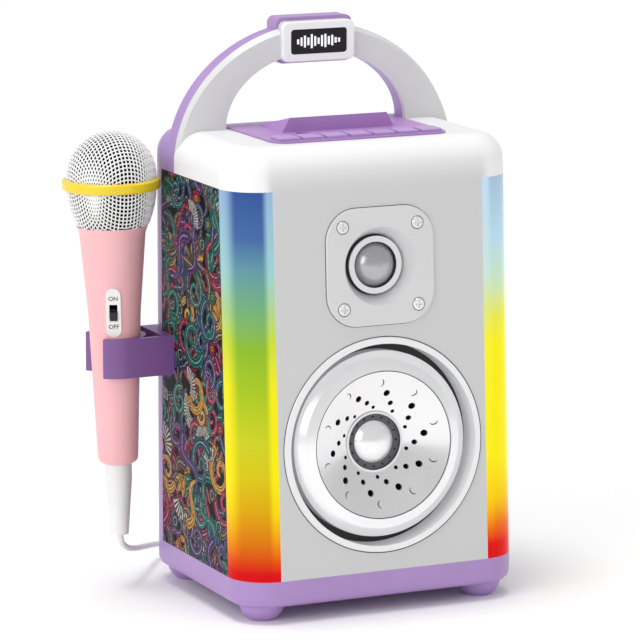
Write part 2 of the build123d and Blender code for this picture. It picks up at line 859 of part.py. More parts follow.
tweeter_screw_plane = face_plane(tweeter_height, plate_top - tweeter_screw_recess)
with BuildPart() as tweeter_screws:
    for x, y in tweeter_screw_spots:
        add((tweeter_screw_plane.location * Location((x, y, 0))) * inner_screw)
finish(tweeter_screws, "tweeter_screws")

with BuildPart() as tweeter_ring:
    with BuildSketch(turning_plane(tweeter_height)):
        Polygon(
            (tweeter_dome_radius, throat_bottom),
            (tweeter_ring_radius, throat_bottom),
            (tweeter_ring_radius, ring_top),
            (tweeter_dome_radius, ring_top),
            align=None,
        )
    revolve(axis=turning_axis(tweeter_height))
finish(tweeter_ring, "tweeter_ring")


def dome(up, radius, rise, bottom):
    """Solid spherical cap on a speaker's axis, standing on a depth below the front face."""
    sphere_radius = (radius**2 + rise**2) / (2 * rise)
    with BuildPart() as cap:
        with BuildSketch(turning_plane(up)):
            with BuildLine():
                Line((0, bottom), (radius, bottom))
                RadiusArc((radius, bottom), (0, bottom + rise), -sphere_radius)
                Line((0, bottom + rise), (0, bottom))
            make_face()
        revolve(axis=turning_axis(up))
    return cap.part


dome_play = fit_gap / 3
with BuildPart() as tweeter_dome:
    add(dome(tweeter_height, tweeter_dome_radius - dome_play, tweeter_dome_rise, throat_bottom))
finish(tweeter_dome, "tweeter_dome")

with BuildPart() as tweeter_magnet:
    with BuildSketch(face_plane(tweeter_height, throat_bottom)):
        Circle(tweeter_magnet_radius)
    extrude(amount=-tweeter_magnet_length)
finish(tweeter_magnet, "tweeter_magnet")

# ---- woofer --------------------------------------------------------------------------------------
woofer_axis = turning_axis(woofer_height)
tube_radius = woofer_well_radius + woofer_tube_wall
floor = -woofer_well_depth
seat = -woofer_surround_seat
rim_radius = woofer_cone_radius + woofer_groove
skirt_radius = woofer_surround_radius - woofer_surround_wall

with BuildPart() as woofer_trim:
    with BuildSketch(turning_plane(woofer_height)):
        Polygon(
            (woofer_well_radius, floor),
            (tube_radius, floor),
            (tube_radius, 0),
            (woofer_trim_radius, 0),
            (woofer_trim_radius - woofer_trim_proud / 2, woofer_trim_proud),
            (woofer_well_radius, woofer_trim_proud),
            align=None,
        )
    revolve(axis=woofer_axis)
finish(woofer_trim, "woofer_trim")

with BuildPart() as woofer_surround:
    with BuildSketch(turning_plane(woofer_height)):
        Polygon(
            (woofer_surround_radius, floor),
            (woofer_surround_radius, -woofer_surround_drop),
            (woofer_crest_radius, -woofer_crest_drop),
            (rim_radius, woofer_surround_rise),
            (rim_radius, seat),
            (woofer_crest_radius, seat),
            (skirt_radius, seat - (skirt_radius - woofer_crest_radius)),
            (skirt_radius, floor),
            align=None,
        )
    revolve(axis=woofer_axis)
finish(woofer_surround, "woofer_surround")

cone_slope = (woofer_cone_rim_rise + woofer_hub_depth) / (woofer_cone_radius - woofer_hub_radius)
cone_drop = woofer_cone_thickness * hypot(1, cone_slope)
lip_bottom = seat - woofer_cone_thickness
inner_rim = woofer_cone_radius - woofer_cone_thickness

with BuildPart() as woofer_cone:
    with BuildSketch(turning_plane(woofer_height)):
        Polygon(
            (woofer_hub_radius, -woofer_hub_depth),
            (woofer_cone_radius, woofer_cone_rim_rise),
            (woofer_cone_radius, seat),
            (woofer_cone_radius + woofer_cone_lip, seat),
            (woofer_cone_radius + woofer_cone_lip, lip_bottom),
            (inner_rim, lip_bottom),
            (inner_rim, woofer_cone_rim_rise - woofer_cone_thickness * cone_slope - cone_drop),
            (woofer_hub_radius, -woofer_hub_depth - cone_drop),
            align=None,
        )
    revolve(axis=woofer_axis)
    with BuildSketch(face_plane(woofer_height, woofer_surround_rise)):
        for hole_position, hole_angle, hole_radius in woofer_holes:
            with PolarLocations(hole_position, woofer_arms, hole_angle):
                Circle(hole_radius)
    extrude(amount=floor, mode=Mode.SUBTRACT)
finish(woofer_cone, "woofer_cone")

former_radius = woofer_hub_radius - woofer_former_wall
shoulder = -(woofer_seat_depth + woofer_seat_thickness)
former_bottom = -woofer_hub_depth - woofer_former_length
ring_inner = former_radius - woofer_former_wall

with BuildPart() as woofer_hub_ring:
    with BuildSketch(turning_plane(woofer_height)):
        Polygon(
            (woofer_hub_radius, -woofer_hub_depth + woofer_groove),
            (former_radius, -woofer_hub_depth + woofer_groove),
            (former_radius, shoulder),
            (ring_inner, shoulder),
            (ring_inner, former_bottom),
            (woofer_hub_radius, former_bottom),
            align=None,
        )
    revolve(axis=woofer_axis)
finish(woofer_hub_ring, "woofer_hub_ring")

with BuildPart() as woofer_hub_seat:
    with BuildSketch(face_plane(woofer_height, shoulder)):
        Circle(former_radius - dome_play)
    extrude(amount=woofer_seat_thickness)
    with BuildSketch(face_plane(woofer_height, shoulder)):
        with PolarLocations(woofer_dot_radius, woofer_dot_count):
            Circle(woofer_dot_size)
    extrude(amount=woofer_seat_thickness, mode=Mode.SUBTRACT)
finish(woofer_hub_seat, "woofer_hub_seat")

with BuildPart() as woofer_hub_dome:
    add(dome(woofer_height, woofer_dome_radius, woofer_dome_rise, -woofer_seat_depth))
finish(woofer_hub_dome, "woofer_hub_dome")

flange_bottom = floor - woofer_basket_wall
basket_bottom = floor - woofer_basket_depth
flange_inner = skirt_radius - woofer_surround_wall
basket_opening = woofer_hub_radius + woofer_gap_clearance + 1
basket_corner = woofer_basket_floor_radius - woofer_basket_wall

with BuildPart() as woofer_basket:
    with BuildSketch(face_plane(woofer_height, flange_bottom)):
        Circle(tube_radius)
        with PolarLocations(0, len(woofer_screw_spots), 45):
            with Locations((hypot(woofer_screw_offset, woofer_screw_offset) / 2, 0)):
                Rectangle(hypot(woofer_screw_offset, woofer_screw_offset), 2 * woofer_boss_radius)
        with Locations(woofer_screw_spots):
            Circle(woofer_boss_radius)
    extrude(amount=woofer_basket_wall)
    with BuildSketch(turning_plane(woofer_height)):
        Polygon(
            (0, floor + 1),
            (flange_inner, floor + 1),
            (flange_inner, flange_bottom),
            (basket_corner, basket_bottom + woofer_basket_wall),
            (0, basket_bottom + woofer_basket_wall),
            align=None,
        )
    revolve(axis=woofer_axis, mode=Mode.SUBTRACT)
    with BuildSketch(turning_plane(woofer_height)):
        Polygon(
            (flange_inner, flange_bottom),
            (flange_inner + woofer_basket_wall, flange_bottom),
            (woofer_basket_floor_radius, basket_bottom),
            (basket_opening, basket_bottom),
            (basket_opening, basket_bottom + woofer_basket_wall),
            (basket_corner, basket_bottom + woofer_basket_wall),
            align=None,
        )
    revolve(axis=woofer_axis)
    window_bottom = basket_bottom + 2 * woofer_basket_wall
    with BuildSketch(face_plane(woofer_height, window_bottom)):
        with PolarLocations(woofer_basket_floor_radius, woofer_window_count, 0):
            Rectangle(woofer_magnet_radius, woofer_magnet_radius)
    window_height = flange_bottom - 2 * woofer_basket_wall - window_bottom
    extrude(amount=window_height, mode=Mode.SUBTRACT)
    with BuildSketch(face_plane(woofer_height, floor + 1)):
        with Locations(woofer_screw_spots):
            Circle(screw_pass_radius)
    extrude(amount=-(woofer_basket_wall + 2), mode=Mode.SUBTRACT)
finish(woofer_basket, "woofer_basket")

with BuildPart() as woofer_magnet:
    with BuildSketch(face_plane(woofer_height, basket_bottom)):
        Circle(woofer_magnet_radius)
    extrude(amount=-woofer_magnet_length)
    with BuildSketch(face_plane(woofer_height, basket_bottom)):
        Circle(woofer_hub_radius + woofer_gap_clearance)
        Circle(ring_inner - woofer_gap_clearance, mode=Mode.SUBTRACT)
    extrude(amount=-woofer_gap_depth, mode=Mode.SUBTRACT)
finish(woofer_magnet, "woofer_magnet")

# ---- console panel with the phone rest -----------------------------------------------------------
flange_top = deck_bottom - key_gap
flange_bottom_z = flange_top - key_flange_thickness
stem_bottom = flange_bottom_z - key_stem_length
key_board_top = stem_bottom - key_travel - key_overrun - plunger_rise - tact_height
key_board_bottom = key_board_top - board_thickness
key_board_y = key_board_front_y + key_board_depth / 2
lens_bottom = deck_top - status_recess - status_lens_thickness

with BuildPart() as rest_wedge:
    with BuildSketch(Plane.YZ.offset(-half_width)):
        Polygon(
            (rest_front_y, deck_top),
            (seam_y, deck_top),
            (rest_front_y, deck_top + rest_height),
            align=None,
        )
    extrude(amount=body_width)
    with BuildSketch(facing_front(seam_y)):
        Polygon(
            (-rest_bottom_width / 2, deck_top),
            (rest_bottom_width / 2, deck_top),
            (rest_top_width / 2, deck_top + rest_height),
            (-rest_top_width / 2, deck_top + rest_height),
            align=None,
        )
    extrude(amount=far, mode=Mode.INTERSECT)

with BuildPart() as console_panel:
    with BuildSketch(Plane.XY.offset(deck_bottom)):
        console_outline(0, seam_y)
    extrude(amount=console_thickness)
    add(rest_wedge.part)
    with BuildSketch(Plane.XY.offset(key_board_top)):
        with Locations(key_board_screw_spots):
            Circle(board_post_radius)
    extrude(amount=deck_bottom - key_board_top)
    with BuildSketch(Plane.XY.offset(key_board_top)):
        with Locations(key_board_screw_spots):
            Circle(screw_hole_radius)
    extrude(amount=inner_screw_length - board_thickness + 1, mode=Mode.SUBTRACT)
    with BuildSketch(Plane.XY.offset(deck_bottom - 1)):
        with Locations([(x, key_y) for x in key_xs]):
            Rectangle(key_width + 2 * key_gap, key_depth + 2 * key_gap)
        with Locations((status_x, status_y)):
            Circle(status_radius - status_lip)
    extrude(amount=console_thickness + 2, mode=Mode.SUBTRACT)
    with BuildSketch(Plane.XY.offset(lens_bottom)):
        with Locations((status_x, status_y)):
            Circle(status_radius)
    extrude(amount=console_thickness, mode=Mode.SUBTRACT)
finish(console_panel, "console_panel")

for number, x in enumerate(key_xs, start=1):
    with BuildPart() as key:
        with BuildSketch(Plane.XY.offset(flange_top)):
            with Locations((x, key_y)):
                Rectangle(key_width, key_depth)
        extrude(amount=deck_top + key_rise - flange_top)
        fillet(key.faces().sort_by(Axis.Z)[-1].edges(), key_rise / 3)
        with BuildSketch(Plane.XY.offset(flange_bottom_z)):
            with Locations((x, key_y)):
                Rectangle(key_width + 2 * key_flange, key_depth + 2 * key_flange)
        extrude(amount=key_flange_thickness)
        with BuildSketch(Plane.XY.offset(stem_bottom)):
            with Locations((x, key_y)):
                Rectangle(key_stem_size, key_stem_size)
        extrude(amount=key_stem_length)
    finish(key, f"key_{number}")

with BuildPart() as status_lens:
    with BuildSketch(Plane.XY.offset(lens_bottom)):
        with Locations((status_x, status_y)):
            Circle(status_radius - dome_play)
    extrude(amount=status_lens_thickness)
finish(status_lens, "status_lens")

with BuildPart() as key_board:
    with BuildSketch(Plane.XY.offset(key_board_bottom)):
        with Locations((0, key_board_y)):
            Rectangle(key_board_width, key_board_depth)
        with Locations(key_board_screw_spots):
            Circle(screw_pass_radius, mode=Mode.SUBTRACT)
    extrude(amount=board_thickness)
    for x in key_xs:
        with BuildSketch(Plane.XY.offset(key_board_top)):
            with Locations((x, key_y)):
                Rectangle(tact_size, tact_size)
        extrude(amount=tact_height)
        with BuildSketch(Plane.XY.offset(key_board_top + tact_height)):
            with Locations((x, key_y)):
                Circle(plunger_radius)
        extrude(amount=plunger_rise)
finish(key_board, "key_board")

# ---- main board with the switch body, battery pack and its clamp ---------------------------------
inner_wall_y = rear_y - wall
switch_cover_y = inner_wall_y - switch_gap
main_board_z = main_board_bottom + main_board_height / 2

with BuildPart() as main_board:
    with BuildSketch(facing_front(main_board_y)):
        with Locations((0, main_board_z)):
            Rectangle(main_board_width, main_board_height)
        with Locations(main_board_screw_spots):
            Circle(screw_pass_radius, mode=Mode.SUBTRACT)
    extrude(amount=board_thickness)
    with BuildSketch(facing_front(main_board_y)):
        with Locations((power_switch_x, socket_row_z)):
            Rectangle(switch_body_width, switch_body_height)
    extrude(amount=-(switch_cover_y - switch_plate_wall - switch_gap - main_board_y))
    with BuildSketch(facing_front(main_board_y - board_thickness)):
        with Locations(*chip_spots):
            Rectangle(chip_size, chip_size)
    extrude(amount=chip_thickness)
finish(main_board, "main_board")

with BuildPart() as power_switch:
    knob_x = power_switch_x - switch_travel / 2
    with BuildSketch(facing_front(switch_cover_y)):
        with Locations((knob_x, socket_row_z)):
            Rectangle(switch_plate_cover, switch_plate_rise)
    extrude(amount=switch_plate_wall)
    with BuildSketch(facing_front(switch_cover_y)):
        with Locations((knob_x, socket_row_z)):
            Rectangle(switch_knob_width, switch_knob_height)
    extrude(amount=-(rear_y + switch_knob_proud - switch_cover_y))
    rib_step = switch_knob_width / 4
    with BuildSketch(facing_front(rear_y + switch_knob_proud)):
        with Locations([(knob_x + step * rib_step, socket_row_z) for step in (-1, 0, 1)]):
            Rectangle(rib_step / 2, switch_knob_height)
    extrude(amount=switch_knob_proud / 2, mode=Mode.SUBTRACT)
finish(power_switch, "power_switch")

cell_spacing = 2 * cell_radius
pack_length = cell_spacing * cell_count
pack_z = wall + cell_radius

with BuildPart() as battery_pack:
    with BuildSketch(Plane.YZ.offset(-cell_length / 2)):
        with Locations((cell_y, pack_z)):
            SlotOverall(pack_length, 2 * cell_radius)
    extrude(amount=cell_length)
finish(battery_pack, "battery_pack")

with BuildPart() as battery_clamp:
    with BuildSketch(Plane.YZ.offset(-clamp_width / 2)):
        with Locations((cell_y, wall + (2 * cell_radius + clamp_thickness) / 2)):
            Rectangle(pack_length + 2 * clamp_thickness, 2 * cell_radius + clamp_thickness)
        with Locations((cell_y, pack_z)):
            SlotOverall(pack_length, 2 * cell_radius, mode=Mode.SUBTRACT)
        with Locations((cell_y, wall)):
            Rectangle(pack_length, 2 * cell_radius, mode=Mode.SUBTRACT)
    extrude(amount=clamp_width)
finish(battery_clamp, "battery_clamp")

# ---- sockets on the back -------------------------------------------------------------------------
jack_front_y = rear_y + jack_proud

for x, name in ((mic_socket_x, "mic_socket"), (aux_socket_x, "aux_socket")):
    with BuildPart() as socket:
        with BuildSketch(facing_front(main_board_y)):
            with Locations((x, socket_row_z)):
                Rectangle(jack_body_size, jack_body_size)
        extrude(amount=-(main_board_gap - jack_body_gap))
        with BuildSketch(facing_front(main_board_y)):
            with Locations((x, socket_row_z)):
                Circle(jack_radius)
        extrude(amount=-(jack_front_y - main_board_y))
        with BuildSketch(facing_front(jack_front_y)):
            with Locations((x, socket_row_z)):
                Circle(jack_bore_radius)
        extrude(amount=jack_bore_length, mode=Mode.SUBTRACT)
    finish(socket, name)

with BuildPart() as charge_port:
    with BuildSketch(facing_front(main_board_y)):
        with Locations((charge_port_x, socket_row_z)):
            SlotOverall(port_outer_width, port_outer_height)
    extrude(amount=-(rear_y - main_board_y))
    with BuildSketch(facing_front(rear_y)):
        with Locations((charge_port_x, socket_row_z)):
            SlotOverall(port_width, port_height)
            Rectangle(port_tongue_width, port_tongue_height, mode=Mode.SUBTRACT)
    extrude(amount=port_depth, mode=Mode.SUBTRACT)
finish(charge_port, "charge_port")

# ---- microphone ----------------------------------------------------------------------------------
mic_axis = Axis((mic_x, mic_y, 0), (0, 0, 1))
mic_section = Plane(origin=(mic_x, mic_y, 0), x_dir=(1, 0, 0), z_dir=(0, -1, 0))
shoulder_z = mic_neck_z - mic_shoulder_drop
body_profile = [
    (mic_end_radius, mic_end_z),
    (mic_waist_radius, mic_waist_z),
    (mic_neck_radius, mic_neck_z),
    (mic_collar_radius, mic_collar_z),
]
mic_taper = (mic_waist_radius - mic_end_radius) / (mic_waist_z - mic_end_z)
upper_taper = (mic_neck_radius - mic_waist_radius) / (mic_neck_z - mic_waist_z)


def mic_radius_at(z):
    """Outer radius of the microphone's handle below its collar."""
    if z < mic_waist_z:
        return mic_end_radius + (z - mic_end_z) * mic_taper
    return mic_waist_radius + (z - mic_waist_z) * upper_taper


facing = Vector(sin(radians(mic_azimuth)), -cos(radians(mic_azimuth)), 0)
mic_turn_axis = Axis((mic_x, mic_y, mic_lean_z), facing)
plate_tilt = atan2(upper_taper, 1)
plate_normal = facing * cos(plate_tilt) - Vector(0, 0, 1) * sin(plate_tilt)
plate_centre = Vector(mic_x, mic_y, switch_plate_centre_z) + facing * mic_radius_at(
    switch_plate_centre_z
)
plate_across = Vector(cos(radians(mic_azimuth)), sin(radians(mic_azimuth)), 0)


def switch_plane(out):
    """Sketch plane on the microphone's switch plate: X is right, Y is up the handle."""
    return Plane(origin=plate_centre + plate_normal * out, x_dir=plate_across, z_dir=plate_normal)


def finish_leaning(builder, name):
    """Turn a piece of the microphone, built upright, to the microphone's lean and finish it."""
    with BuildPart() as leaning:
        add(builder.part.rotate(mic_turn_axis, mic_lean))
    finish(leaning, name)


slot_behind_width = slider_slot_width + 2 * slider_flange
slot_behind_length = slider_length + slider_travel + 4 * slider_flange

with BuildPart() as mic_body:
    with BuildSketch(mic_section):
        Polygon((0, mic_end_z), *body_profile, (0, mic_collar_z), align=None)
    revolve(axis=mic_axis)
    fillet(mic_body.faces().sort_by(Axis.Z)[0].edges(), mic_end_fillet)
    with BuildSketch(mic_section):
        Polygon(
            (0, mic_end_z + mic_wall),
            (mic_radius_at(mic_end_z + mic_wall) - mic_wall, mic_end_z + mic_wall),
            (mic_waist_radius - mic_wall, mic_waist_z),
            (mic_radius_at(shoulder_z - mic_wall) - mic_wall, shoulder_z - mic_wall),
            (0, shoulder_z - mic_wall),
            align=None,
        )
        Polygon(
            (0, shoulder_z),
            (mic_radius_at(shoulder_z) - mic_wall, shoulder_z),
            (mic_radius_at(shoulder_z) - mic_wall, mic_collar_z + 1),
            (0, mic_collar_z + 1),
            align=None,
        )
    revolve(axis=mic_axis, mode=Mode.SUBTRACT)
    with BuildSketch(Plane.XY.offset(mic_end_z - 1)):
        with Locations((mic_x, mic_y)):
            Circle(relief_spigot_radius)
    extrude(amount=mic_collar_z - mic_end_z, mode=Mode.SUBTRACT)
    with BuildSketch(switch_plane(switch_plate_proud - switch_plate_depth)):
        SlotOverall(switch_plate_length, switch_plate_width, rotation=90)
    extrude(amount=mic_end_radius, mode=Mode.SUBTRACT)
    with BuildSketch(switch_plane(switch_plate_proud - switch_plate_depth)):
        Rectangle(slot_behind_width, slot_behind_length)
    extrude(amount=-2 * mic_wall, mode=Mode.SUBTRACT)
finish_leaning(mic_body, "mic_body")

with BuildPart() as mic_switch_plate:
    with BuildSketch(switch_plane(switch_plate_proud - switch_plate_depth)):
        SlotOverall(switch_plate_length, switch_plate_width, rotation=90)
        Rectangle(slider_slot_width, slider_slot_length, mode=Mode.SUBTRACT)
    extrude(amount=switch_plate_depth)
finish_leaning(mic_switch_plate, "mic_switch_plate")

with BuildPart() as mic_switch_slider:
    knob_width = slider_slot_width - 2 * slider_play
    flange_depth = switch_plate_depth - switch_plate_proud + slider_play
    knob_drop = -slider_travel / 2
    with BuildSketch(switch_plane(-flange_depth)):
        with Locations((0, knob_drop)):
            Rectangle(knob_width, slider_length)
    extrude(amount=flange_depth + switch_plate_proud + slider_proud)
    with BuildSketch(switch_plane(-flange_depth)):
        with Locations((0, knob_drop)):
            Rectangle(slider_slot_width + slider_flange, slider_length + 2 * slider_flange)
    extrude(amount=-slider_flange)
finish_leaning(mic_switch_slider, "mic_switch_slider")


def ball_solid(inset):
    """Filled volume of the microphone's head from its collar up, drawn in by an inset."""
    radius = mic_ball_radius - inset
    neck = mic_collar_radius - mic_ball_seat - inset
    crown_z = mic_ball_z + mic_ball_rise - mic_ball_radius
    with BuildPart() as ball:
        with BuildSketch(mic_section):
            with BuildLine():
                Line((0, mic_collar_z), (neck, mic_collar_z))
                TangentArc((radius, mic_ball_z), (neck, mic_collar_z), tangent=(0, -1))
                Line((radius, mic_ball_z), (radius, crown_z))
                RadiusArc((radius, crown_z), (0, crown_z + radius), -radius)
                Line((0, crown_z + radius), (0, mic_collar_z))
            make_face()
        revolve(axis=mic_axis)
    return ball.part


with BuildPart() as mic_grille:
    add(ball_solid(0))
    add(ball_solid(mic_mesh_thickness), mode=Mode.SUBTRACT)
finish_leaning(mic_grille, "mic_grille")

with BuildPart() as mic_band:
    with BuildSketch(Plane.XY.offset(mic_ball_z - mic_band_height / 2)):
        with Locations((mic_x, mic_y)):
            Circle(mic_band_radius)
    extrude(amount=mic_band_height)
    fillet(mic_band.edges().filter_by(GeomType.CIRCLE), mic_band_height / 4)
    with BuildSketch(Plane.XY.offset(mic_ball_z - mic_band_height)):
        with Locations((mic_x, mic_y)):
            Circle(mic_ball_radius)
    extrude(amount=2 * mic_band_height, mode=Mode.SUBTRACT)
finish_leaning(mic_band, "mic_band")

capsule_radius = mic_radius_at(shoulder_z) - mic_wall - dome_play
capsule_top = mic_ball_z + capsule_rise

with BuildPart() as mic_capsule:
    with BuildSketch(Plane.XY.offset(shoulder_z)):
        with Locations((mic_x, mic_y)):
            Circle(capsule_radius)
    extrude(amount=mic_collar_z - shoulder_z)
    with BuildSketch(Plane.XY.offset(mic_collar_z)):
        with Locations((mic_x, mic_y)):
            Circle(capsule_tube_radius)
    extrude(amount=capsule_top - mic_collar_z)
finish_leaning(mic_capsule, "mic_capsule")

with BuildPart() as mic_foam:
    add(ball_solid(mic_mesh_thickness + fit_gap))
    with BuildSketch(Plane.XY.offset(mic_collar_z - 1)):
        with Locations((mic_x, mic_y)):
            Circle(capsule_tube_radius + dome_play)
    extrude(amount=capsule_top - mic_collar_z + 1 + dome_play, mode=Mode.SUBTRACT)
finish_leaning(mic_foam, "mic_foam")

relief_bottom = mic_end_z - relief_length

with BuildPart() as mic_strain_relief:
    with BuildSketch(mic_section):
        Polygon(
            (0, relief_bottom),
            (relief_end_radius, relief_bottom),
            (relief_top_radius, mic_end_z - relief_straight),
            (relief_top_radius, mic_end_z),
            (relief_spigot_radius - dome_play, mic_end_z),
            (relief_spigot_radius - dome_play, mic_end_z + 2 * mic_wall),
            (0, mic_end_z + 2 * mic_wall),
            align=None,
        )
    revolve(axis=mic_axis)
finish_leaning(mic_strain_relief, "mic_strain_relief")

# ---- microphone clip -----------------------------------------------------------------------------
clip_top = clip_bottom + clip_height
plate_face_x = -half_width - clip_plate
pocket_radius = mic_radius_at(clip_top) + fit_gap + clip_side_wall

with BuildPart() as clip_bore:
    with BuildSketch(mic_section):
        Polygon(
            (0, clip_bottom - 1),
            (mic_radius_at(clip_bottom - 1) + fit_gap, clip_bottom - 1),
            (mic_radius_at(clip_top + 1) + fit_gap, clip_top + 1),
            (0, clip_top + 1),
            align=None,
        )
    revolve(axis=mic_axis)

with BuildPart() as mic_clip:
    with BuildSketch(Plane.XY.offset(clip_bottom)):
        with Locations((mic_x, mic_y)):
            Circle(clip_outer_radius)
        with Locations(((mic_x - pipe_x) / 2, mic_y)):
            Rectangle(-pipe_x - mic_x, 2 * clip_outer_radius)
        with Locations(((mic_x + plate_face_x) / 2, mic_y)):
            Rectangle(
                plate_face_x - mic_x,
                2 * (clip_outer_radius - clip_side_wall),
                mode=Mode.SUBTRACT,
            )
        with Locations((mic_x, mic_y)):
            Circle(pocket_radius)
    extrude(amount=clip_height)
    add(body_block(0, base_height, column_top), mode=Mode.SUBTRACT)
    add(clip_bore.part.rotate(mic_turn_axis, mic_lean), mode=Mode.SUBTRACT)
    mouth = 2 * clip_outer_radius
    mouth_rise = mouth * tan(radians(clip_mouth_angle))
    with BuildSketch(Plane.XY.offset(clip_bottom - 1)):
        with Locations((mic_x, mic_y)):
            Polygon((0, 0), (-mouth, mouth_rise), (-mouth, -mouth_rise), align=None)
    extrude(amount=clip_height + 2, mode=Mode.SUBTRACT)
    for z in clip_screw_heights:
        with Locations(Location((-half_width, clip_screw_y, z), heads_right)):
            Cylinder(screw_hole_radius, 2 * (inner_screw_length - wall), mode=Mode.SUBTRACT)
finish(mic_clip, "mic_clip")

# ---- the screws inside ---------------------------------------------------------------------------
woofer_screw_plane = Plane(
    origin=face_point(0, woofer_height, flange_bottom), x_dir=(1, 0, 0), z_dir=-face_normal
)

with BuildPart() as inner_screws:
    for x, y in woofer_screw_spots:
        add((woofer_screw_plane.location * Location((x, y, 0))) * inner_screw)
    with Locations([Location((x, y, key_board_bottom), heads_down) for x, y in key_board_screw_spots]):
        add(inner_screw)
    head_y = main_board_y - board_thickness
    with Locations([Location((x, head_y, z), heads_front) for x, z in main_board_screw_spots]):
        add(inner_screw)
    head_x = -half_width + wall
    with Locations([Location((head_x, clip_screw_y, z), heads_right) for z in clip_screw_heights]):
        add(inner_screw)
finish(inner_screws, "inner_screws")

# ---- microphone cord -----------------------------------------------------------------------------
floor_z = -foot_height
coil_bottom = floor_z + tie_thickness
coil_half = coil_strands * cord_radius
coil_radius = coil_diameters * cord_radius
coil_middle_z = coil_bottom + coil_half
relief_way = Vector(0, 0, -1).rotate(Axis((0, 0, 0), facing), mic_lean)
relief_end = Vector(mic_x, mic_y, mic_lean_z) + relief_way * (mic_lean_z - relief_bottom)
lead_points = [
    tuple(relief_end),
    tuple(relief_end + relief_way * cord_run_out),
    (-96.5, 44.0, 11.2),
    (-88.5, 52.0, 8.4),
    (-77.0, 67.0, 5.0),
    (-61.0, 88.0, 0.0),
    (-41.0, 105.5, -4.6),
    (coil_x - 16.2, 116.0, floor_z + cord_radius + tie_thickness),
    (coil_x, 124.8, floor_z + cord_radius + tie_thickness),
]
plug_end_y = jack_front_y + plug_length + plug_neck_length
tail_points = [
    (mic_socket_x, plug_end_y, socket_row_z),
    (mic_socket_x, 101.0, socket_row_z),
    (-30.2, 112.0, 90.0),
    (-30.0, 117.5, 76.0),
    (-29.5, 118.5, 55.0),
    (-28.0, 118.5, 34.0),
    (-25.5, 120.0, 16.0),
    (coil_x - 19.3, 127.0, 4.5),
    (coil_x - 20.8, 140.0, coil_middle_z + coil_half - cord_radius),
]


def arc_radii(points):
    """Radius at each corner of a route: as large as the shorter of its two runs allows."""
    radii = []
    for before, corner, after in zip(points, points[1:], points[2:]):
        first = Vector(*corner) - Vector(*before)
        second = Vector(*after) - Vector(*corner)
        half_turn = radians(first.get_angle(second)) / 2
        radii.append(0.45 * min(first.length, second.length) / tan(half_turn))
    return radii


def cord_tube(points):
    """Round cord along a route of straight runs joined by tangent arcs."""
    radii = arc_radii(points)
    print("cord radii", [round(radius, 1) for radius in radii])
    start = Vector(*points[1]) - Vector(*points[0])
    with BuildPart() as tube:
        with BuildLine() as route:
            FilletPolyline(points, radius=radii)
        with BuildSketch(Plane(origin=points[0], z_dir=start)):
            Circle(cord_radius)
        sweep(path=route.line)
    measured = tube.part.volume / (pi * cord_radius**2)
    length = sum(edge.length for edge in route.edges())
    print("cord length", round(length, 1), "and from its volume", round(measured, 1))
    return tube.part


with BuildPart() as mic_cord_lead:
    add(cord_tube(lead_points))
finish(mic_cord_lead, "mic_cord_lead")

with BuildPart() as mic_cord_tail:
    add(cord_tube(tail_points))
finish(mic_cord_tail, "mic_cord_tail")

coil_length = cord_length - sum(
    tube.part.volume / (pi * cord_radius**2) for tube in (mic_cord_lead, mic_cord_tail)
)
print("coiled length", round(coil_length), "turns", round(coil_length / (2 * pi * coil_radius), 2))

with BuildPart() as mic_cord_coil:
    with BuildSketch(Plane.XY.offset(coil_bottom)):
        with Locations((coil_x, coil_y)):
            Circle(coil_radius + coil_half)
            Circle(coil_radius - coil_half, mode=Mode.SUBTRACT)
    extrude(amount=2 * coil_half)
finish(mic_cord_coil, "mic_cord_coil")

with BuildPart() as cord_tie:
    with BuildSketch(Plane.YZ.offset(coil_x - tie_width / 2)):
        with Locations((coil_y + coil_radius, coil_middle_z)):
            Rectangle(2 * (coil_half + tie_thickness + tie_slack), 2 * (coil_half + tie_thickness))
            Rectangle(2 * (coil_half + tie_slack), 2 * coil_half, mode=Mode.SUBTRACT)
    extrude(amount=tie_width)
finish(cord_tie, "cord_tie")

with BuildPart() as mic_plug:
    plug_y = jack_front_y + plug_length
    with BuildSketch(facing_front(jack_front_y)):
        with Locations((mic_socket_x, socket_row_z)):
            Circle(plug_radius)
    extrude(amount=-plug_length)
    with BuildSketch(facing_front(plug_y)):
        with Locations((mic_socket_x, socket_row_z)):
            Circle(plug_neck_radius)
    extrude(amount=-plug_neck_length)
    with BuildSketch(facing_front(jack_front_y)):
        with Locations((mic_socket_x, socket_row_z)):
            Circle(plug_tip_radius)
    extrude(amount=plug_tip_length)
finish(mic_plug, "mic_plug")
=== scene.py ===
"""Looks of a portable karaoke speaker with a microphone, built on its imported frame.

Everything is in metres in the frame of the construction model: +X to the right seen from the
front, +Y to the back, +Z up, and the origin under the middle of the base tray.
"""

from __future__ import annotations

import logging
import math
import random
from collections.abc import Callable
from dataclasses import dataclass
from enum import Enum

import bpy
import numpy as np
from mathutils import Matrix, Vector


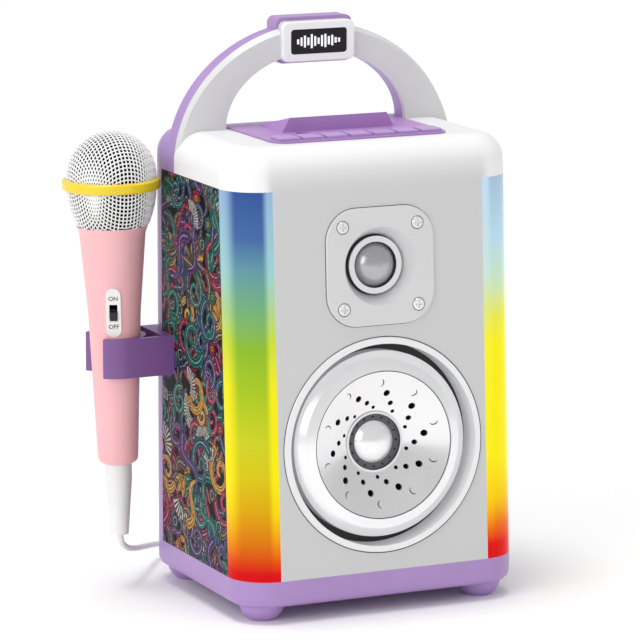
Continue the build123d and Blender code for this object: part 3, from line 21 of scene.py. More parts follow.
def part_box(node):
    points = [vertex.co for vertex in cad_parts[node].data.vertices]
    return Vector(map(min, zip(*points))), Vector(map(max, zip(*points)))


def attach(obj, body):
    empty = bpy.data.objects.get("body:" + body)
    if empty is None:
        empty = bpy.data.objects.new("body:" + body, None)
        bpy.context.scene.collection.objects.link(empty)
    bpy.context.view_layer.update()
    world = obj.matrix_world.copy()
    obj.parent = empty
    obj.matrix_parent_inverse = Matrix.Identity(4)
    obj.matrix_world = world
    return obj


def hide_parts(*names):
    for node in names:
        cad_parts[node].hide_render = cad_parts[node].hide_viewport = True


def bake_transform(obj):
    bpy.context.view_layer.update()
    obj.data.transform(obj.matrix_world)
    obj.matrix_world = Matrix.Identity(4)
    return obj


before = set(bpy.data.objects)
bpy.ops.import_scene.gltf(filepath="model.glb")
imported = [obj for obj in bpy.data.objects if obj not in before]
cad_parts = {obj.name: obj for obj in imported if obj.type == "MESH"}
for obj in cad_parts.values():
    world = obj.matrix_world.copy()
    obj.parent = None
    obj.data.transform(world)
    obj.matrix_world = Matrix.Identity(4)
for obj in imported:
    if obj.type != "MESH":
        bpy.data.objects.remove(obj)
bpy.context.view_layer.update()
MM = 0.001
log = logging.getLogger("scene")

Color = tuple[float, float, float]
Band = tuple[float, float, float, float]
Point = tuple[float, float, float]

FACE_LEAN = math.radians(3.2)  # of the front face
FACE_Y = -62.5  # of the front face's foot, in millimetres
BASE_HEIGHT = 14.0
CLOUD_SCALE = 45.0  # broad variation of a finish, in cells per metre
GRAIN_DEPTH = 0.0002
COAT_ROUGHNESS = 0.08


class Body(Enum):
    """Moving bodies that pieces ride on."""

    CABINET = "cabinet"
    MICROPHONE = "microphone"


class Side(Enum):
    """Sides of the cabinet, with their sign of X."""

    LEFT = -1
    RIGHT = 1


# ---- shared helpers ----


def linear(color: Color) -> tuple[float, float, float, float]:
    """Turn a display colour into the linear colour that shaders take.

    Args:
        color: Red, green and blue from 0 to 1 as seen on a screen.

    Returns:
        The linear colour with an alpha of one.
    """
    return (*(c / 12.92 if c <= 0.04045 else ((c + 0.055) / 1.055) ** 2.4 for c in color), 1.0)


def cad(node: str) -> bpy.types.Object:
    """The object that carries a construction node."""
    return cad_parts[node]


def link_object(name: str, data: bpy.types.ID) -> bpy.types.Object:
    """Make an object of a mesh, curve, light or camera and link it to the scene.

    Args:
        name: The object's name.
        data: What it shows.

    Returns:
        The new object.
    """
    new = bpy.data.objects.new(name, data)
    bpy.context.scene.collection.objects.link(new)
    return new


def mesh_object(name: str, vertices: list, faces: list, smooth: bool = True) -> bpy.types.Object:
    """Make a mesh object and link it to the scene.

    Args:
        name: The piece's name.
        vertices: Vertex positions in metres.
        faces: Tuples of vertex indices.
        smooth: Whether the faces are shaded smooth.

    Returns:
        The new object.
    """
    mesh = bpy.data.meshes.new(name)
    mesh.from_pydata([tuple(vertex) for vertex in vertices], [], faces)
    mesh.validate()
    if smooth:
        mesh.polygons.foreach_set("use_smooth", [True] * len(mesh.polygons))
    mesh.update()
    return link_object(name, mesh)


def aimed(at: Vector, way: Vector, front: str) -> Matrix:
    """Placement of a camera or light.

    Args:
        at: Where it stands.
        way: The direction that its front takes.
        front: Its own axis that is turned that way.

    Returns:
        The placement.
    """
    return Matrix.Translation(at) @ way.to_track_quat(front, "Y").to_matrix().to_4x4()


class Shading:
    """Nodes that shade one material, or the world."""

    def __init__(self, owner: bpy.types.ID, root: str = "Principled BSDF") -> None:
        """Start from the node that takes the colours.

        Args:
            owner: The new material or world.
            root: Name of that node.
        """
        owner.use_nodes = True
        self.tree = owner.node_tree
        self.root = self.tree.nodes[root]

    def feed(self, inputs: dict, node: bpy.types.Node | None = None) -> None:
        """Set inputs to values, or link them to the outputs of other nodes.

        Args:
            inputs: Value or output for each input's name.
            node: The node, or None for the root.
        """
        for name, value in inputs.items():
            socket = (node or self.root).inputs[name]
            if isinstance(value, bpy.types.NodeSocket):
                self.tree.links.new(value, socket)
            else:
                socket.default_value = value

    def add(self, kind: str, output: str, inputs: dict, **settings: str) -> bpy.types.NodeSocket:
        """Add a node.

        Args:
            kind: Kind of node.
            output: Name of the output that is wanted.
            inputs: Value or output for each input's name.
            **settings: The node's own settings.

        Returns:
            The output.
        """
        node = self.tree.nodes.new(f"ShaderNode{kind}")
        for name, value in settings.items():
            setattr(node, name, value)
        self.feed(inputs, node)
        return node.outputs[output]

    def part(self, vector: str, axis: str) -> bpy.types.NodeSocket:
        """One coordinate of the place on the piece or of its normal.

        Args:
            vector: Either Object, Normal or Generated.
            axis: Either X, Y or Z.

        Returns:
            The coordinate's output.
        """
        return self.add("SeparateXYZ", axis, {"Vector": self.add("TexCoord", vector, {})})

    def between(self, value: bpy.types.NodeSocket, low: float, high: float) -> bpy.types.NodeSocket:
        """Share from 0 to 1 that rises smoothly between two limits.

        Args:
            value: The output that is measured.
            low: Limit where the share is 0.
            high: Limit where it is 1.

        Returns:
            The share's output.
        """
        inputs = {"From Min": low, "From Max": high, "Value": value}
        return self.add("MapRange", "Result", inputs, interpolation_type="SMOOTHSTEP")

    def noise(self, scale: float, detail: float = 2.0) -> bpy.types.NodeSocket:
        """Noise with a number of cells per metre."""
        place = self.add("TexCoord", "Object", {})
        return self.add("TexNoise", "Fac", {"Scale": scale, "Detail": detail, "Vector": place})

    def spread(self, noise: bpy.types.NodeSocket, low: float, high: float) -> bpy.types.NodeSocket:
        """Value that the noise varies between two limits."""
        return self.add("MapRange", "Result", {"To Min": low, "To Max": high, "Value": noise})

    def mix(self, inputs: dict) -> bpy.types.NodeSocket:
        """Mix of two colours, from the inputs Factor, A and B."""
        return self.add("Mix", "Result", inputs, data_type="RGBA")

    def ramp(self, share: bpy.types.NodeSocket, stops: list[tuple]) -> bpy.types.NodeSocket:
        """Colour ramp.

        Args:
            share: Output that picks the place on the ramp.
            stops: Place and linear colour of each stop.

        Returns:
            The colour's output.
        """
        node = self.tree.nodes.new("ShaderNodeValToRGB")
        elements = node.color_ramp.elements
        while len(elements) < len(stops):
            elements.new(0.5)
        for element, (place, color) in zip(elements, stops):
            element.position = place
            element.color = color
        self.feed({"Fac": share}, node)
        return node.outputs["Color"]


# ---- finishes ----


@dataclass(frozen=True)
class Finish:
    """A procedural finish: base colour with faint variation, and roughness and bump from noise.

    Attributes:
        name: Name of the material.
        color: Display colour.
        roughness: Mean roughness.
        metallic: How metallic the surface is.
        grain: Strength of the fine bump.
        grain_scale: How fine the bump is, in cells per metre.
        mottle: How far the colour varies, as a share of its brightness.
        coat: Weight of a clear coat.
        specular: Specular level.
        glow: Strength of light that the surface gives off in its own colour; on parts that are no lamp it
            is painted light that brightens them.
        subsurface: Share of light that scatters under the surface.
        nodes: Construction nodes that have the finish.
    """

    name: str
    color: Color
    roughness: float = 0.4
    metallic: float = 0.0
    grain: float = 0.05
    grain_scale: float = 1800.0
    mottle: float = 0.02
    coat: float = 0.0
    specular: float = 0.5
    glow: float = 0.0
    subsurface: float = 0.0
    nodes: tuple[str, ...] = ()

    def material(self) -> bpy.types.Material:
        """Build the material, unless it's already built.

        Returns:
            The material.
        """
        known = bpy.data.materials.get(self.name)
        if known:
            return known
        material = bpy.data.materials.new(self.name)
        shading = Shading(material)
        broad = shading.noise(CLOUD_SCALE, 3.0)
        darker = tuple(c * (1 - self.mottle) for c in self.color)
        brighter = tuple(min(1.0, c * (1 + self.mottle)) for c in self.color)
        tint = shading.ramp(broad, [(0.3, linear(darker)), (0.7, linear(brighter))])
        smoother, rougher = max(0.02, self.roughness * 0.85), min(1.0, self.roughness * 1.15)
        shading.feed(
            {
                "Metallic": self.metallic,
                "Coat Weight": self.coat,
                "Coat Roughness": COAT_ROUGHNESS,
                "Specular IOR Level": self.specular,
                "Base Color": tint,
                "Roughness": shading.spread(broad, smoother, rougher),
            }
        )
        if self.subsurface:
            shading.feed(
                {
                    "Subsurface Weight": self.subsurface,
                    "Subsurface Radius": (0.004, 0.003, 0.002),
                    "Subsurface Scale": 1.0,
                }
            )
        if self.grain:
            fine = shading.noise(self.grain_scale)
            inputs = {"Strength": self.grain, "Distance": GRAIN_DEPTH, "Height": fine}
            shading.feed({"Normal": shading.add("Bump", "Normal", inputs)})
        # painted light where the part is no lamp: emission in the surface's own tint
        if self.glow:
            shading.feed({"Emission Color": tint, "Emission Strength": self.glow})
        return material


@dataclass(frozen=True)
class RainbowFinish:
    """Finish of a lit diffuser: bands of colour up the column, with brighter bands at its sides.

    Attributes:
        name: Name of the material.
        middle: Height share and display colour of each band in the middle, from the bottom up.
        sides: The same along the diffuser's two sides.
        strength: Strength of the light it gives off.
        edge: Side that the diffuser bends round to.
        bottom: Height of the diffuser's lower end in metres.
        top: Height of its upper end in metres.
        side_from: How far out of the middle the sides start, as a share of the bend.
        side_full: How far out they are in full.
        turn: Sideways part of the normal in the middle of the bend.
        matt: Share of its colour that it doesn't reflect.
    """

    name: str
    middle: tuple[Band, ...]
    sides: tuple[Band, ...]
    strength: float
    edge: Side
    bottom: float = 0.014
    top: float = 0.208
    side_from: float = 0.26
    side_full: float = 0.44
    turn: float = 0.56
    matt: float = 0.75

    def material(self) -> bpy.types.Material:
        """Build the glowing material.

        Returns:
            The material.
        """
        material = bpy.data.materials.new(self.name)
        shading = Shading(material)
        rise = {"From Min": self.bottom, "From Max": self.top, "Value": shading.part("Object", "Z")}
        height = shading.add("MapRange", "Result", rise)
        offset = {0: shading.part("Normal", "X"), 1: self.turn * self.edge.value}
        aside = shading.add("Math", "Value", offset, operation="SUBTRACT")
        away = shading.add("Math", "Value", {0: aside}, operation="ABSOLUTE")
        bands = [
            shading.ramp(height, [(share, linear(color)) for share, *color in stops])
            for stops in (self.middle, self.sides)
        ]
        share = shading.between(away, self.side_from, self.side_full)
        light = shading.mix({"Factor": share, "A": bands[0], "B": bands[1]})
        shading.feed(
            {
                "Roughness": 0.22,
                "Specular IOR Level": 0.08,
                "Coat Weight": 0.03,
                "Coat Roughness": COAT_ROUGHNESS,
                "Base Color": shading.mix({"Factor": self.matt, "A": light, "B": (0.0, 0.0, 0.0, 1.0)}),
                "Emission Color": light,
                "Emission Strength": self.strength,
            }
        )
        return material


@dataclass(frozen=True)
class FrontShellFinish:
    """White moulding whose flat front carries painted shade: light grey that fades out towards the top,
    where the front rounds over into the lit top.

    Attributes:
        name: Name of the material.
        shell: Display colour of the moulding.
        face: Display colour of the painted shade on the front face.
        white_from: How far from the middle in metres the moulding is all white, without painted shade.
        grey_to: How far from the middle the painted shade on the face is full.
        fade_from: Height in metres up to which the painted shade on the face is full.
        fade_to: Height in metres where the painted shade has gone.
    """

    name: str = "front_shell"
    shell: Color = (0.945, 0.945, 0.95)
    # light grey painted on the flat front as shade
    face: Color = (0.80, 0.80, 0.80)
    white_from: float = 0.0632
    grey_to: float = 0.0562
    fade_from: float = 0.205
    fade_to: float = 0.228

    def material(self) -> bpy.types.Material:
        """Build the two-tone material.

        Returns:
            The material.
        """
        material = bpy.data.materials.new(self.name)
        shading = Shading(material)
        aside = shading.add("Math", "Value", {0: shading.part("Object", "X")}, operation="ABSOLUTE")
        across = shading.between(aside, self.white_from, self.grey_to)
        rise = shading.between(shading.part("Object", "Z"), self.fade_to, self.fade_from)
        # painted shade: share of light grey on the flat front, for the shade of the face turned from the
        # light above
        grey = shading.add("Math", "Value", {0: across, 1: rise}, operation="MULTIPLY")
        shading.feed(
            {
                "Coat Weight": 0.12,
                "Coat Roughness": 0.1,
                "Base Color": shading.mix(
                    {"Factor": grey, "A": linear(self.shell), "B": linear(self.face)}
                ),
                "Roughness": shading.spread(shading.noise(CLOUD_SCALE), 0.3, 0.38),
            }
        )
        return material


# grey of the hub seat, also painted as shade on the cone's silver scales
SEAT_GREY_AND_SHADE = Finish(
    "seat_grey_and_shade", (0.33, 0.33, 0.34), 0.45, grain=0.1, mottle=0.05, nodes=("woofer_hub_seat",),
)
WIRE_WHITE = Finish("wire_white", (0.97, 0.97, 0.97), 0.35, grain=0.05, mottle=0.02)
# black of the foam, also given to pieces that are painted shade: discs in the cone's holes and dark rings
# in the gaps round the woofer and tweeter
FOAM_AND_SHADE_BLACK = Finish(
    "foam_and_shade_black", (0.02, 0.02, 0.022), 0.95, grain=0.8, grain_scale=900.0, mottle=0.3, specular=0.05,
    nodes=("mic_foam",),
)
CORD_WHITE = Finish("cord_white", (0.93, 0.93, 0.925), 0.5, grain=0.08, mottle=0.01)
MARK_BLACK = Finish("mark_black", (0.05, 0.05, 0.05), 0.5, grain=0.0, mottle=0.1)
MARK_WHITE = Finish("mark_white", (0.97, 0.97, 0.97), 0.4, grain=0.0, mottle=0.01, glow=0.25)

CAD_FINISHES = (
    Finish(
        "white_shell", (0.945, 0.945, 0.95), 0.32, grain=0.02, mottle=0.003, coat=0.12,
        nodes=("badge_bezel",),
    ),
    # on the handle's front half, which is white plastic like the front shell, this grey is painted shade;
    # the tweeter plate has it too
    Finish(
        "grey_and_shade_moulding", (0.835, 0.835, 0.84), 0.36, grain=0.03, mottle=0.006,
        nodes=("handle_front", "tweeter_plate"),
    ),
    Finish(
        "lilac_shell", (0.665, 0.535, 0.765), 0.36, grain=0.05, mottle=0.015, coat=0.1,
        nodes=("rear_housing", "base_tray", "feet"),
    ),
    Finish(
        "console_lilac", (0.69, 0.525, 0.77), 0.34, grain=0.06, mottle=0.015, nodes=("console_panel",),
    ),
    Finish(
        "key_lilac", (0.73, 0.61, 0.82), 0.38, grain=0.04, mottle=0.01,
        nodes=tuple(f"key_{number}" for number in range(1, 8)),
    ),
    Finish(
        "violet_clip", (0.49, 0.33, 0.58), 0.35, grain=0.05, mottle=0.02, coat=0.1,
        nodes=("mic_clip",),
    ),
    Finish(
        "mirror_silver", (0.86, 0.86, 0.87), 0.16, metallic=1.0, grain=0.0, mottle=0.01,
        nodes=("woofer_hub_ring", "tweeter_ring"),
    ),
    Finish(
        "cone_silver", (0.93, 0.93, 0.935), 0.2, metallic=0.82, grain=0.01, mottle=0.01,
        nodes=("woofer_cone",),
    ),
    # painted light: the glow brightens the trim's wall where it lies in shade
    Finish(
        "trim_silver", (0.80, 0.80, 0.805), 0.22, metallic=0.2, grain=0.02, mottle=0.01, coat=0.4,
        glow=0.36, nodes=("woofer_trim",),
    ),
    # painted light: the glow brightens the surround and the hub dome
    Finish(
        "satin_silver", (0.90, 0.90, 0.905), 0.2, metallic=0.65, grain=0.03, mottle=0.01, glow=0.15,
        nodes=("woofer_surround", "woofer_hub_dome"),
    ),
    Finish(
        "dome_silver", (0.70, 0.70, 0.71), 0.25, metallic=0.7, grain=0.03, mottle=0.02,
        nodes=("tweeter_dome",),
    ),
    Finish(
        "dark_moulding", (0.09, 0.09, 0.095), 0.5, grain=0.08, mottle=0.05,
        nodes=(
            "woofer_basket", "mic_plug", "power_switch", "mic_socket", "aux_socket", "mic_capsule",
            "mic_switch_slider", "battery_clamp", "cord_tie", "side_panel_left", "side_panel_right",
        ),
    ),
    SEAT_GREY_AND_SHADE,
    Finish(
        "black_glass", (0.035, 0.02, 0.085), 0.2, grain=0.0, mottle=0.1, coat=0.15, specular=0.2,
        nodes=("badge_display",),
    ),
    Finish(
        "ferrite", (0.17, 0.17, 0.18), 0.6, grain=0.15, mottle=0.08,
        nodes=("woofer_magnet", "tweeter_magnet"),
    ),
    # painted light: the glow brightens the screws and the charge port
    Finish(
        "zinc_screw", (0.88, 0.88, 0.875), 0.3, metallic=0.7, grain=0.05, mottle=0.04, glow=0.1,
        nodes=("base_screws", "housing_screws", "inner_screws", "tweeter_screws", "charge_port"),
    ),
    Finish(
        "board_green", (0.08, 0.32, 0.18), 0.4, grain=0.1, mottle=0.08,
        nodes=("key_board", "main_board", "led_strip_left", "led_strip_right"),
    ),
    Finish("cell_wrap", (0.12, 0.32, 0.62), 0.3, grain=0.03, mottle=0.03, nodes=("battery_pack",)),
    # painted light: the glow lifts the handle where it lies in shade
    Finish(
        "pink_handle", (0.935, 0.715, 0.73), 0.42, grain=0.04, mottle=0.01, specular=0.3, glow=0.07,
        nodes=("mic_body",),
    ),
    Finish(
        "band_yellow", (0.93, 0.81, 0.12), 0.3, grain=0.05, mottle=0.03, coat=0.2, nodes=("mic_band",),
    ),
    FOAM_AND_SHADE_BLACK,
    Finish(
        "sleeve_white", (0.93, 0.93, 0.93), 0.45, grain=0.06, mottle=0.01, subsurface=0.1,
        nodes=("mic_strain_relief",),
    ),
    Finish(
        "switch_white", (0.95, 0.94, 0.94), 0.35, grain=0.03, mottle=0.01, nodes=("mic_switch_plate",),
    ),
    Finish(
        "lens_smoke", (0.35, 0.2, 0.42), 0.15, grain=0.0, mottle=0.05, coat=0.5,
        nodes=("status_lens",),
    ),
)


def paint(node: str, material: bpy.types.Material) -> None:
    """Give a construction node its material.

    Args:
        node: Name of the node.
        material: What takes the place of its own materials.
    """
    materials = cad(node).data.materials
    materials.clear()
    materials.append(material)


def paint_cad() -> None:
    """Give every construction node its finish."""
    for finish in CAD_FINISHES:
        for node in finish.nodes:
            paint(node, finish.material())
    paint("front_housing", FrontShellFinish().material())


class Facets:
    """Vertices and faces of a piece in the making."""

    def __init__(self) -> None:
        """Start with nothing."""
        self.vertices: list[Vector] = []
        self.faces: list[tuple[int, ...]] = []

    def polygon(self, points: list[Vector]) -> None:
        """Add one face.

        Args:
            points: Its corners in metres.
        """
        base = len(self.vertices)
        self.vertices += points
        self.faces.append(tuple(range(base, base + len(points))))

    def strip(self, rows: list[list[Vector]], closed: bool = False) -> None:
        """Add rows of points with faces between them.

        Args:
            rows: The rows, all of one length, in metres.
            closed: Whether the last row joins the first.
        """
        base, width = len(self.vertices), len(rows[0])
        for row in rows:
            self.vertices += row
        for index in range(len(rows) if closed else len(rows) - 1):
            here, after = base + index * width, base + (index + 1) % len(rows) * width
            for step in range(width - 1):
                self.faces.append((here + step, here + step + 1, after + step + 1, after + step))

    def tube(self, points: list[Vector], radius: float, sides: int) -> None:
        """Sweep a round section along points with a frame that doesn't twist, closed at both ends.

        Args:
            points: Points along the middle of the tube.
            radius: Radius of the section in metres.
            sides: Number of sides of the section.
        """
        first = len(self.vertices)
        tangent = (points[1] - points[0]).normalized()
        helper = Vector((0, 0, 1)) if abs(tangent.z) < 0.9 else Vector((1, 0, 0))
        normal = tangent.cross(helper).normalized()
        last = len(points) - 1
        for index, point in enumerate(points):
            ahead = points[min(index + 1, last)] - points[max(index - 1, 0)]
            if ahead.length > 0:
                tangent = ahead.normalized()
            normal = (normal - tangent * normal.dot(tangent)).normalized()
            side = tangent.cross(normal)
            base = len(self.vertices)
            for step in range(sides):
                angle = math.tau * step / sides
                out = normal * math.cos(angle) + side * math.sin(angle)
                self.vertices.append(point + out * radius)
                if index:
                    here, after = base + step, base + (step + 1) % sides
                    self.faces.append((here - sides, after - sides, after, here))
        self.faces.append(tuple(reversed(range(first, first + sides))))
        self.faces.append(tuple(range(base, base + sides)))

    def piece(self, name: str, finish: Finish, body: Body, slot: str) -> bpy.types.Object:
        """Make the finished piece that rides on a body.

        Args:
            name: The piece's name.
            finish: The finish it gets.
            body: The body it rides on.
            slot: The record's material slot that it belongs to; not used.

        Returns:
            The new object.
        """
        piece = mesh_object(name, self.vertices, self.faces)
        piece.data.materials.append(finish.material())
        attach(piece, body.value)
        log.info("made %s with %d faces", name, len(piece.data.polygons))
        return piece


# ---- camera ----


@dataclass(frozen=True)
class Viewpoint:
    """Camera that looks at the speaker from the front left, a little from above."""

    azimuth: float = -25.0
    elevation: float = 10.88
    roll: float = 0.136
    distance: float = 2.12356
    focal_length: float = 234.85
    sensor: float = 36.0
    clip: tuple[float, float] = (0.05, 30.0)
    target: Point = (-0.0076, 0.0, 0.1314)

    def build(self) -> None:
        """Create the camera and make it the scene's camera."""
        azimuth, elevation = math.radians(self.azimuth), math.radians(self.elevation)
        level = Vector((math.sin(azimuth), -math.cos(azimuth), 0)) * math.cos(elevation)
        back = level + Vector((0, 0, math.sin(elevation)))
        lens = bpy.data.cameras.new("camera")
        lens.lens = self.focal_length
        lens.sensor_width = self.sensor
        lens.clip_start, lens.clip_end = self.clip
        camera = link_object("camera", lens)
        roll = Matrix.Rotation(math.radians(self.roll), 4, "Z")
        camera.matrix_world = aimed(Vector(self.target) + back * self.distance, back, "Z") @ roll
        bpy.context.scene.camera = camera


# ---- microphone cord ----


@dataclass(frozen=True)
class MicCord:
    """The microphone's cord: a lead to a neat coil on the floor, and a tail up to its plug.

    Sizes are millimetres, as in the construction model.
    """

    diameter: float = 3.2
    length: float = 1200.0
    lead: tuple[Point, ...] = (
        (-101.701, 40.2, 20.518),
        (-101.626, 40.166, 15.918),
        (-96.5, 44.0, 11.2),
        (-88.5, 52.0, 8.4),
        (-77.0, 67.0, 5.0),
        (-61.0, 88.0, 0.0),
        (-41.0, 105.5, -4.6),
        (-20.2, 116.0, -5.6),
        (-4.0, 124.8, -5.6),
    )
    tail: tuple[Point, ...] = (
        (-24.8, 140.0, 0.8),
        (-23.3, 127.0, 4.5),
        (-25.5, 120.0, 16.0),
        (-28.0, 118.5, 34.0),
        (-29.5, 118.5, 55.0),
        (-30.0, 117.5, 76.0),
        (-30.2, 112.0, 90.0),
        (-30.0, 101.0, 96.0),
        (-30.0, 89.3, 96.0),
    )
    coil_center: tuple[float, float] = (-4.0, 146.9)
    coil_radii: tuple[float, ...] = (20.8, 17.6, 14.4)
    coil_heights: tuple[float, ...] = (-5.6, -2.4, 0.8)
    start_angle: float = -90.0
    end_angle: float = 180.0
    follow: Point = (43.5, 51.0, 0.0)
    step_from: float = 0.7  # share of a turn after which it steps over to the next one
    points_per_turn: int = 14
    sides: int = 10

    def coil_points(self) -> list[Point]:
        """Control points of the coil's turns, layer on layer, in and out by turns.

        Returns:
            The points in millimetres.
        """
        rings: list[tuple[float, float]] = []
        for layer, height in enumerate(self.coil_heights):
            radii = self.coil_radii if layer % 2 == 0 else tuple(reversed(self.coil_radii))
            rings += [(radius, height) for radius in radii]
        rings = rings[:-1] + [(self.coil_radii[0], self.coil_heights[-1])]
        sweep = 360.0 * (len(rings) - 1) + (self.end_angle - self.start_angle)
        steps = round(sweep / 360.0 * self.points_per_turn)
        points: list[Point] = []
        for step in range(1, steps):
            turned = sweep * step / steps
            place = turned / 360.0
            index = min(int(place), len(rings) - 1)
            ahead = min(index + 1, len(rings) - 1)
            share = place - index
            blend = max(0.0, (share - self.step_from) / (1 - self.step_from))
            radius, height = (a * (1 - blend) + b * blend for a, b in zip(rings[index], rings[ahead]))
            angle = math.radians(self.start_angle + turned)
            # a control polygon cuts inside its own circle, so it stands out a little
            outside = radius / math.cos(math.pi / self.points_per_turn) ** 0.5
            x, y = outside * math.cos(angle), outside * math.sin(angle)
            points.append((self.coil_center[0] + x, self.coil_center[1] + y, height))
        return points

    def path(self) -> list[Vector]:
        """Points read from one smooth spline through the whole route.

        Returns:
            The points in metres.
        """
        route = list(self.lead[:-1]) + self.coil_points() + list(self.tail)
        curve = bpy.data.curves.new("cord_route", "CURVE")
        curve.dimensions = "3D"
        curve.resolution_u = 6
        spline = curve.splines.new("NURBS")
        spline.points.add(len(route) - 1)
        for control, point in zip(spline.points, route):
            control.co = (point[0] * MM, point[1] * MM, point[2] * MM, 1.0)
        spline.order_u = 3
        spline.use_endpoint_u = True
        guide = link_object("cord_route", curve)
        bpy.context.view_layer.update()
        flat = bpy.data.meshes.new_from_object(guide)
        points = [vertex.co.copy() for vertex in flat.vertices]
        bpy.data.objects.remove(guide)
        bpy.data.meshes.remove(flat)
        bpy.data.curves.remove(curve)
        return points

    def build(self) -> None:
        """Make the cord."""
        points = self.path()
        facets = Facets()
        facets.tube(points, self.diameter / 2 * MM, self.sides)
        cord = mesh_object("mic_cord", facets.vertices, facets.faces)
        cord.data.materials.append(CORD_WHITE.material())
        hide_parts("mic_cord_lead", "mic_cord_coil", "mic_cord_tail")
        tuple(value * MM for value in self.lead[0])
        start = Vector(self.lead[0]) * MM
        end = start + Vector(self.follow) * MM
        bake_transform(cord)
        log.info("made the cord with %d points", len(points))


# ---- microphone ----

MIC_AXIS = (-103.5, 41.0)  # where the microphone stands, in millimetres
MIC_AZIMUTH = -24.0  # degrees that its switch is turned from the front

NET_TRIES = 12  # steps towards a crossing of the net at most
NET_EXACT = 1e-4  # millimetres that a mesh side may miss its length by
NET_NUDGE = 1e-3  # how far a crossing is moved to see what that changes
NET_FOLDED = 0.2  # share of a mesh side that is left across a mesh that has folded up
NET_FLAT = 1e-9  # smallest determinant that still gives a way to go


@dataclass(frozen=True)
class MicLean:
    """The small angle that the microphone leans to the left in its clip."""

    pivot_z: float = 130.0
    angle: float = 1.03

    def matrix(self) -> Matrix:
        """Lean of the microphone.

        Returns:
            The turn that takes an upright microphone, in metres, to its leaning place.
        """
        azimuth = math.radians(MIC_AZIMUTH)
        facing = Vector((math.sin(azimuth), -math.cos(azimuth), 0))
        pivot = Vector((*MIC_AXIS, self.pivot_z)) * MM
        turn = Matrix.Rotation(math.radians(self.angle), 4, facing)
        return Matrix.Translation(pivot) @ turn @ Matrix.Translation(-pivot)


@dataclass(frozen=True)
class PressedNet:
    """Woven wire net pressed over a round form: every mesh keeps its sides and only shears.

    Attributes:
        profile: Radius and height along the form from its pole outwards, in millimetres.
        pitch: Side of a mesh in millimetres.
    """

    profile: tuple[tuple[float, float], ...]
    pitch: float

    def tables(self) -> tuple[np.ndarray, np.ndarray, np.ndarray]:
        """Measure the profile.

        Returns:
            Lengths along it, and its radii and heights there.
        """
        radii, heights = (np.array(values) for values in zip(*self.profile))
        steps = np.hypot(np.diff(radii), np.diff(heights))
        return np.concatenate(([0.0], np.cumsum(steps))), radii, heights

    def crossings(self) -> dict[tuple[int, int], Vector]:
        """Places where the wires cross, by their steps along the two directions.

        Returns:
            The crossings of all four quarters, around an upright axis through the origin.
        """
        lengths, radii, heights = self.tables()

        def spot(length: float, angle: float) -> Vector:
            """Point of the form at a length along the profile and an angle."""
            radius, height = (float(np.interp(length, lengths, values)) for values in (radii, heights))
            return Vector((radius * math.cos(angle), radius * math.sin(angle), height))

        count = int(lengths[-1] / self.pitch)
        quarter: dict[tuple[int, int], tuple[float, float]] = {(0, 0): (0.0, math.pi / 4)}
        for step in range(1, count + 1):
            quarter[(step, 0)] = (step * self.pitch, 0.0)
            quarter[(0, step)] = (step * self.pitch, math.pi / 2)
        for row in range(1, count + 1):
            for column in range(1, count + 1):
                keys = ((row - 1, column), (row, column - 1), (row - 1, column - 1))
                if not all(key in quarter for key in keys):
                    continue
                first, second, corner = (spot(*quarter[key]) for key in keys)
                settled = self.settle(first, second, corner, spot, lengths)
                if settled:
                    quarter[(row, column)] = settled
        whole: dict[tuple[int, int], Vector] = {}
        for (row, column), place in quarter.items():
            point = spot(*place)
            for sx in (-1, 1):
                for sy in (-1, 1):
                    whole[(row * sx, column * sy)] = Vector((point.x * sx, point.y * sy, point.z))
        return whole

    def settle(
        self,
        first: Vector,
        second: Vector,
        corner: Vector,
        spot: Callable[[float, float], Vector],
        lengths: np.ndarray,
    ) -> tuple[float, float] | None:
        """Find the crossing one mesh side away from two others.

        Args:
            first: One neighbour.
            second: The other neighbour.
            corner: The crossing opposite the wanted one.
            spot: Gives the point at a length and angle on the form.
            lengths: Lengths along the profile.

        Returns:
            The crossing's length along the profile and its angle, or None beyond the net's edge.
        """
        guess = first + second - corner
        angle = math.atan2(guess.y, guess.x)
        out = math.hypot(guess.x, guess.y)
        misses = [abs(out - r) + abs(guess.z - h) for r, h in self.profile]
        length = float(lengths[misses.index(min(misses))])
        for _ in range(NET_TRIES):
            point = spot(length, angle)
            miss = ((point - first).length - self.pitch, (point - second).length - self.pitch)
            if max(abs(value) for value in miss) < NET_EXACT:
                if (point - corner).length < NET_FOLDED * self.pitch or not 0 <= length <= lengths[-1]:
                    return None
                return (length, angle)
            longer, turned = spot(length + NET_NUDGE, angle), spot(length, angle + NET_NUDGE)
            a = ((longer - first).length - self.pitch - miss[0]) / NET_NUDGE
            b = ((turned - first).length - self.pitch - miss[0]) / NET_NUDGE
            c = ((longer - second).length - self.pitch - miss[1]) / NET_NUDGE
            d = ((turned - second).length - self.pitch - miss[1]) / NET_NUDGE
            det = a * d - b * c
            if abs(det) < NET_FLAT:
                return None
            length -= (d * miss[0] - b * miss[1]) / det
            angle -= (a * miss[1] - c * miss[0]) / det
        return None


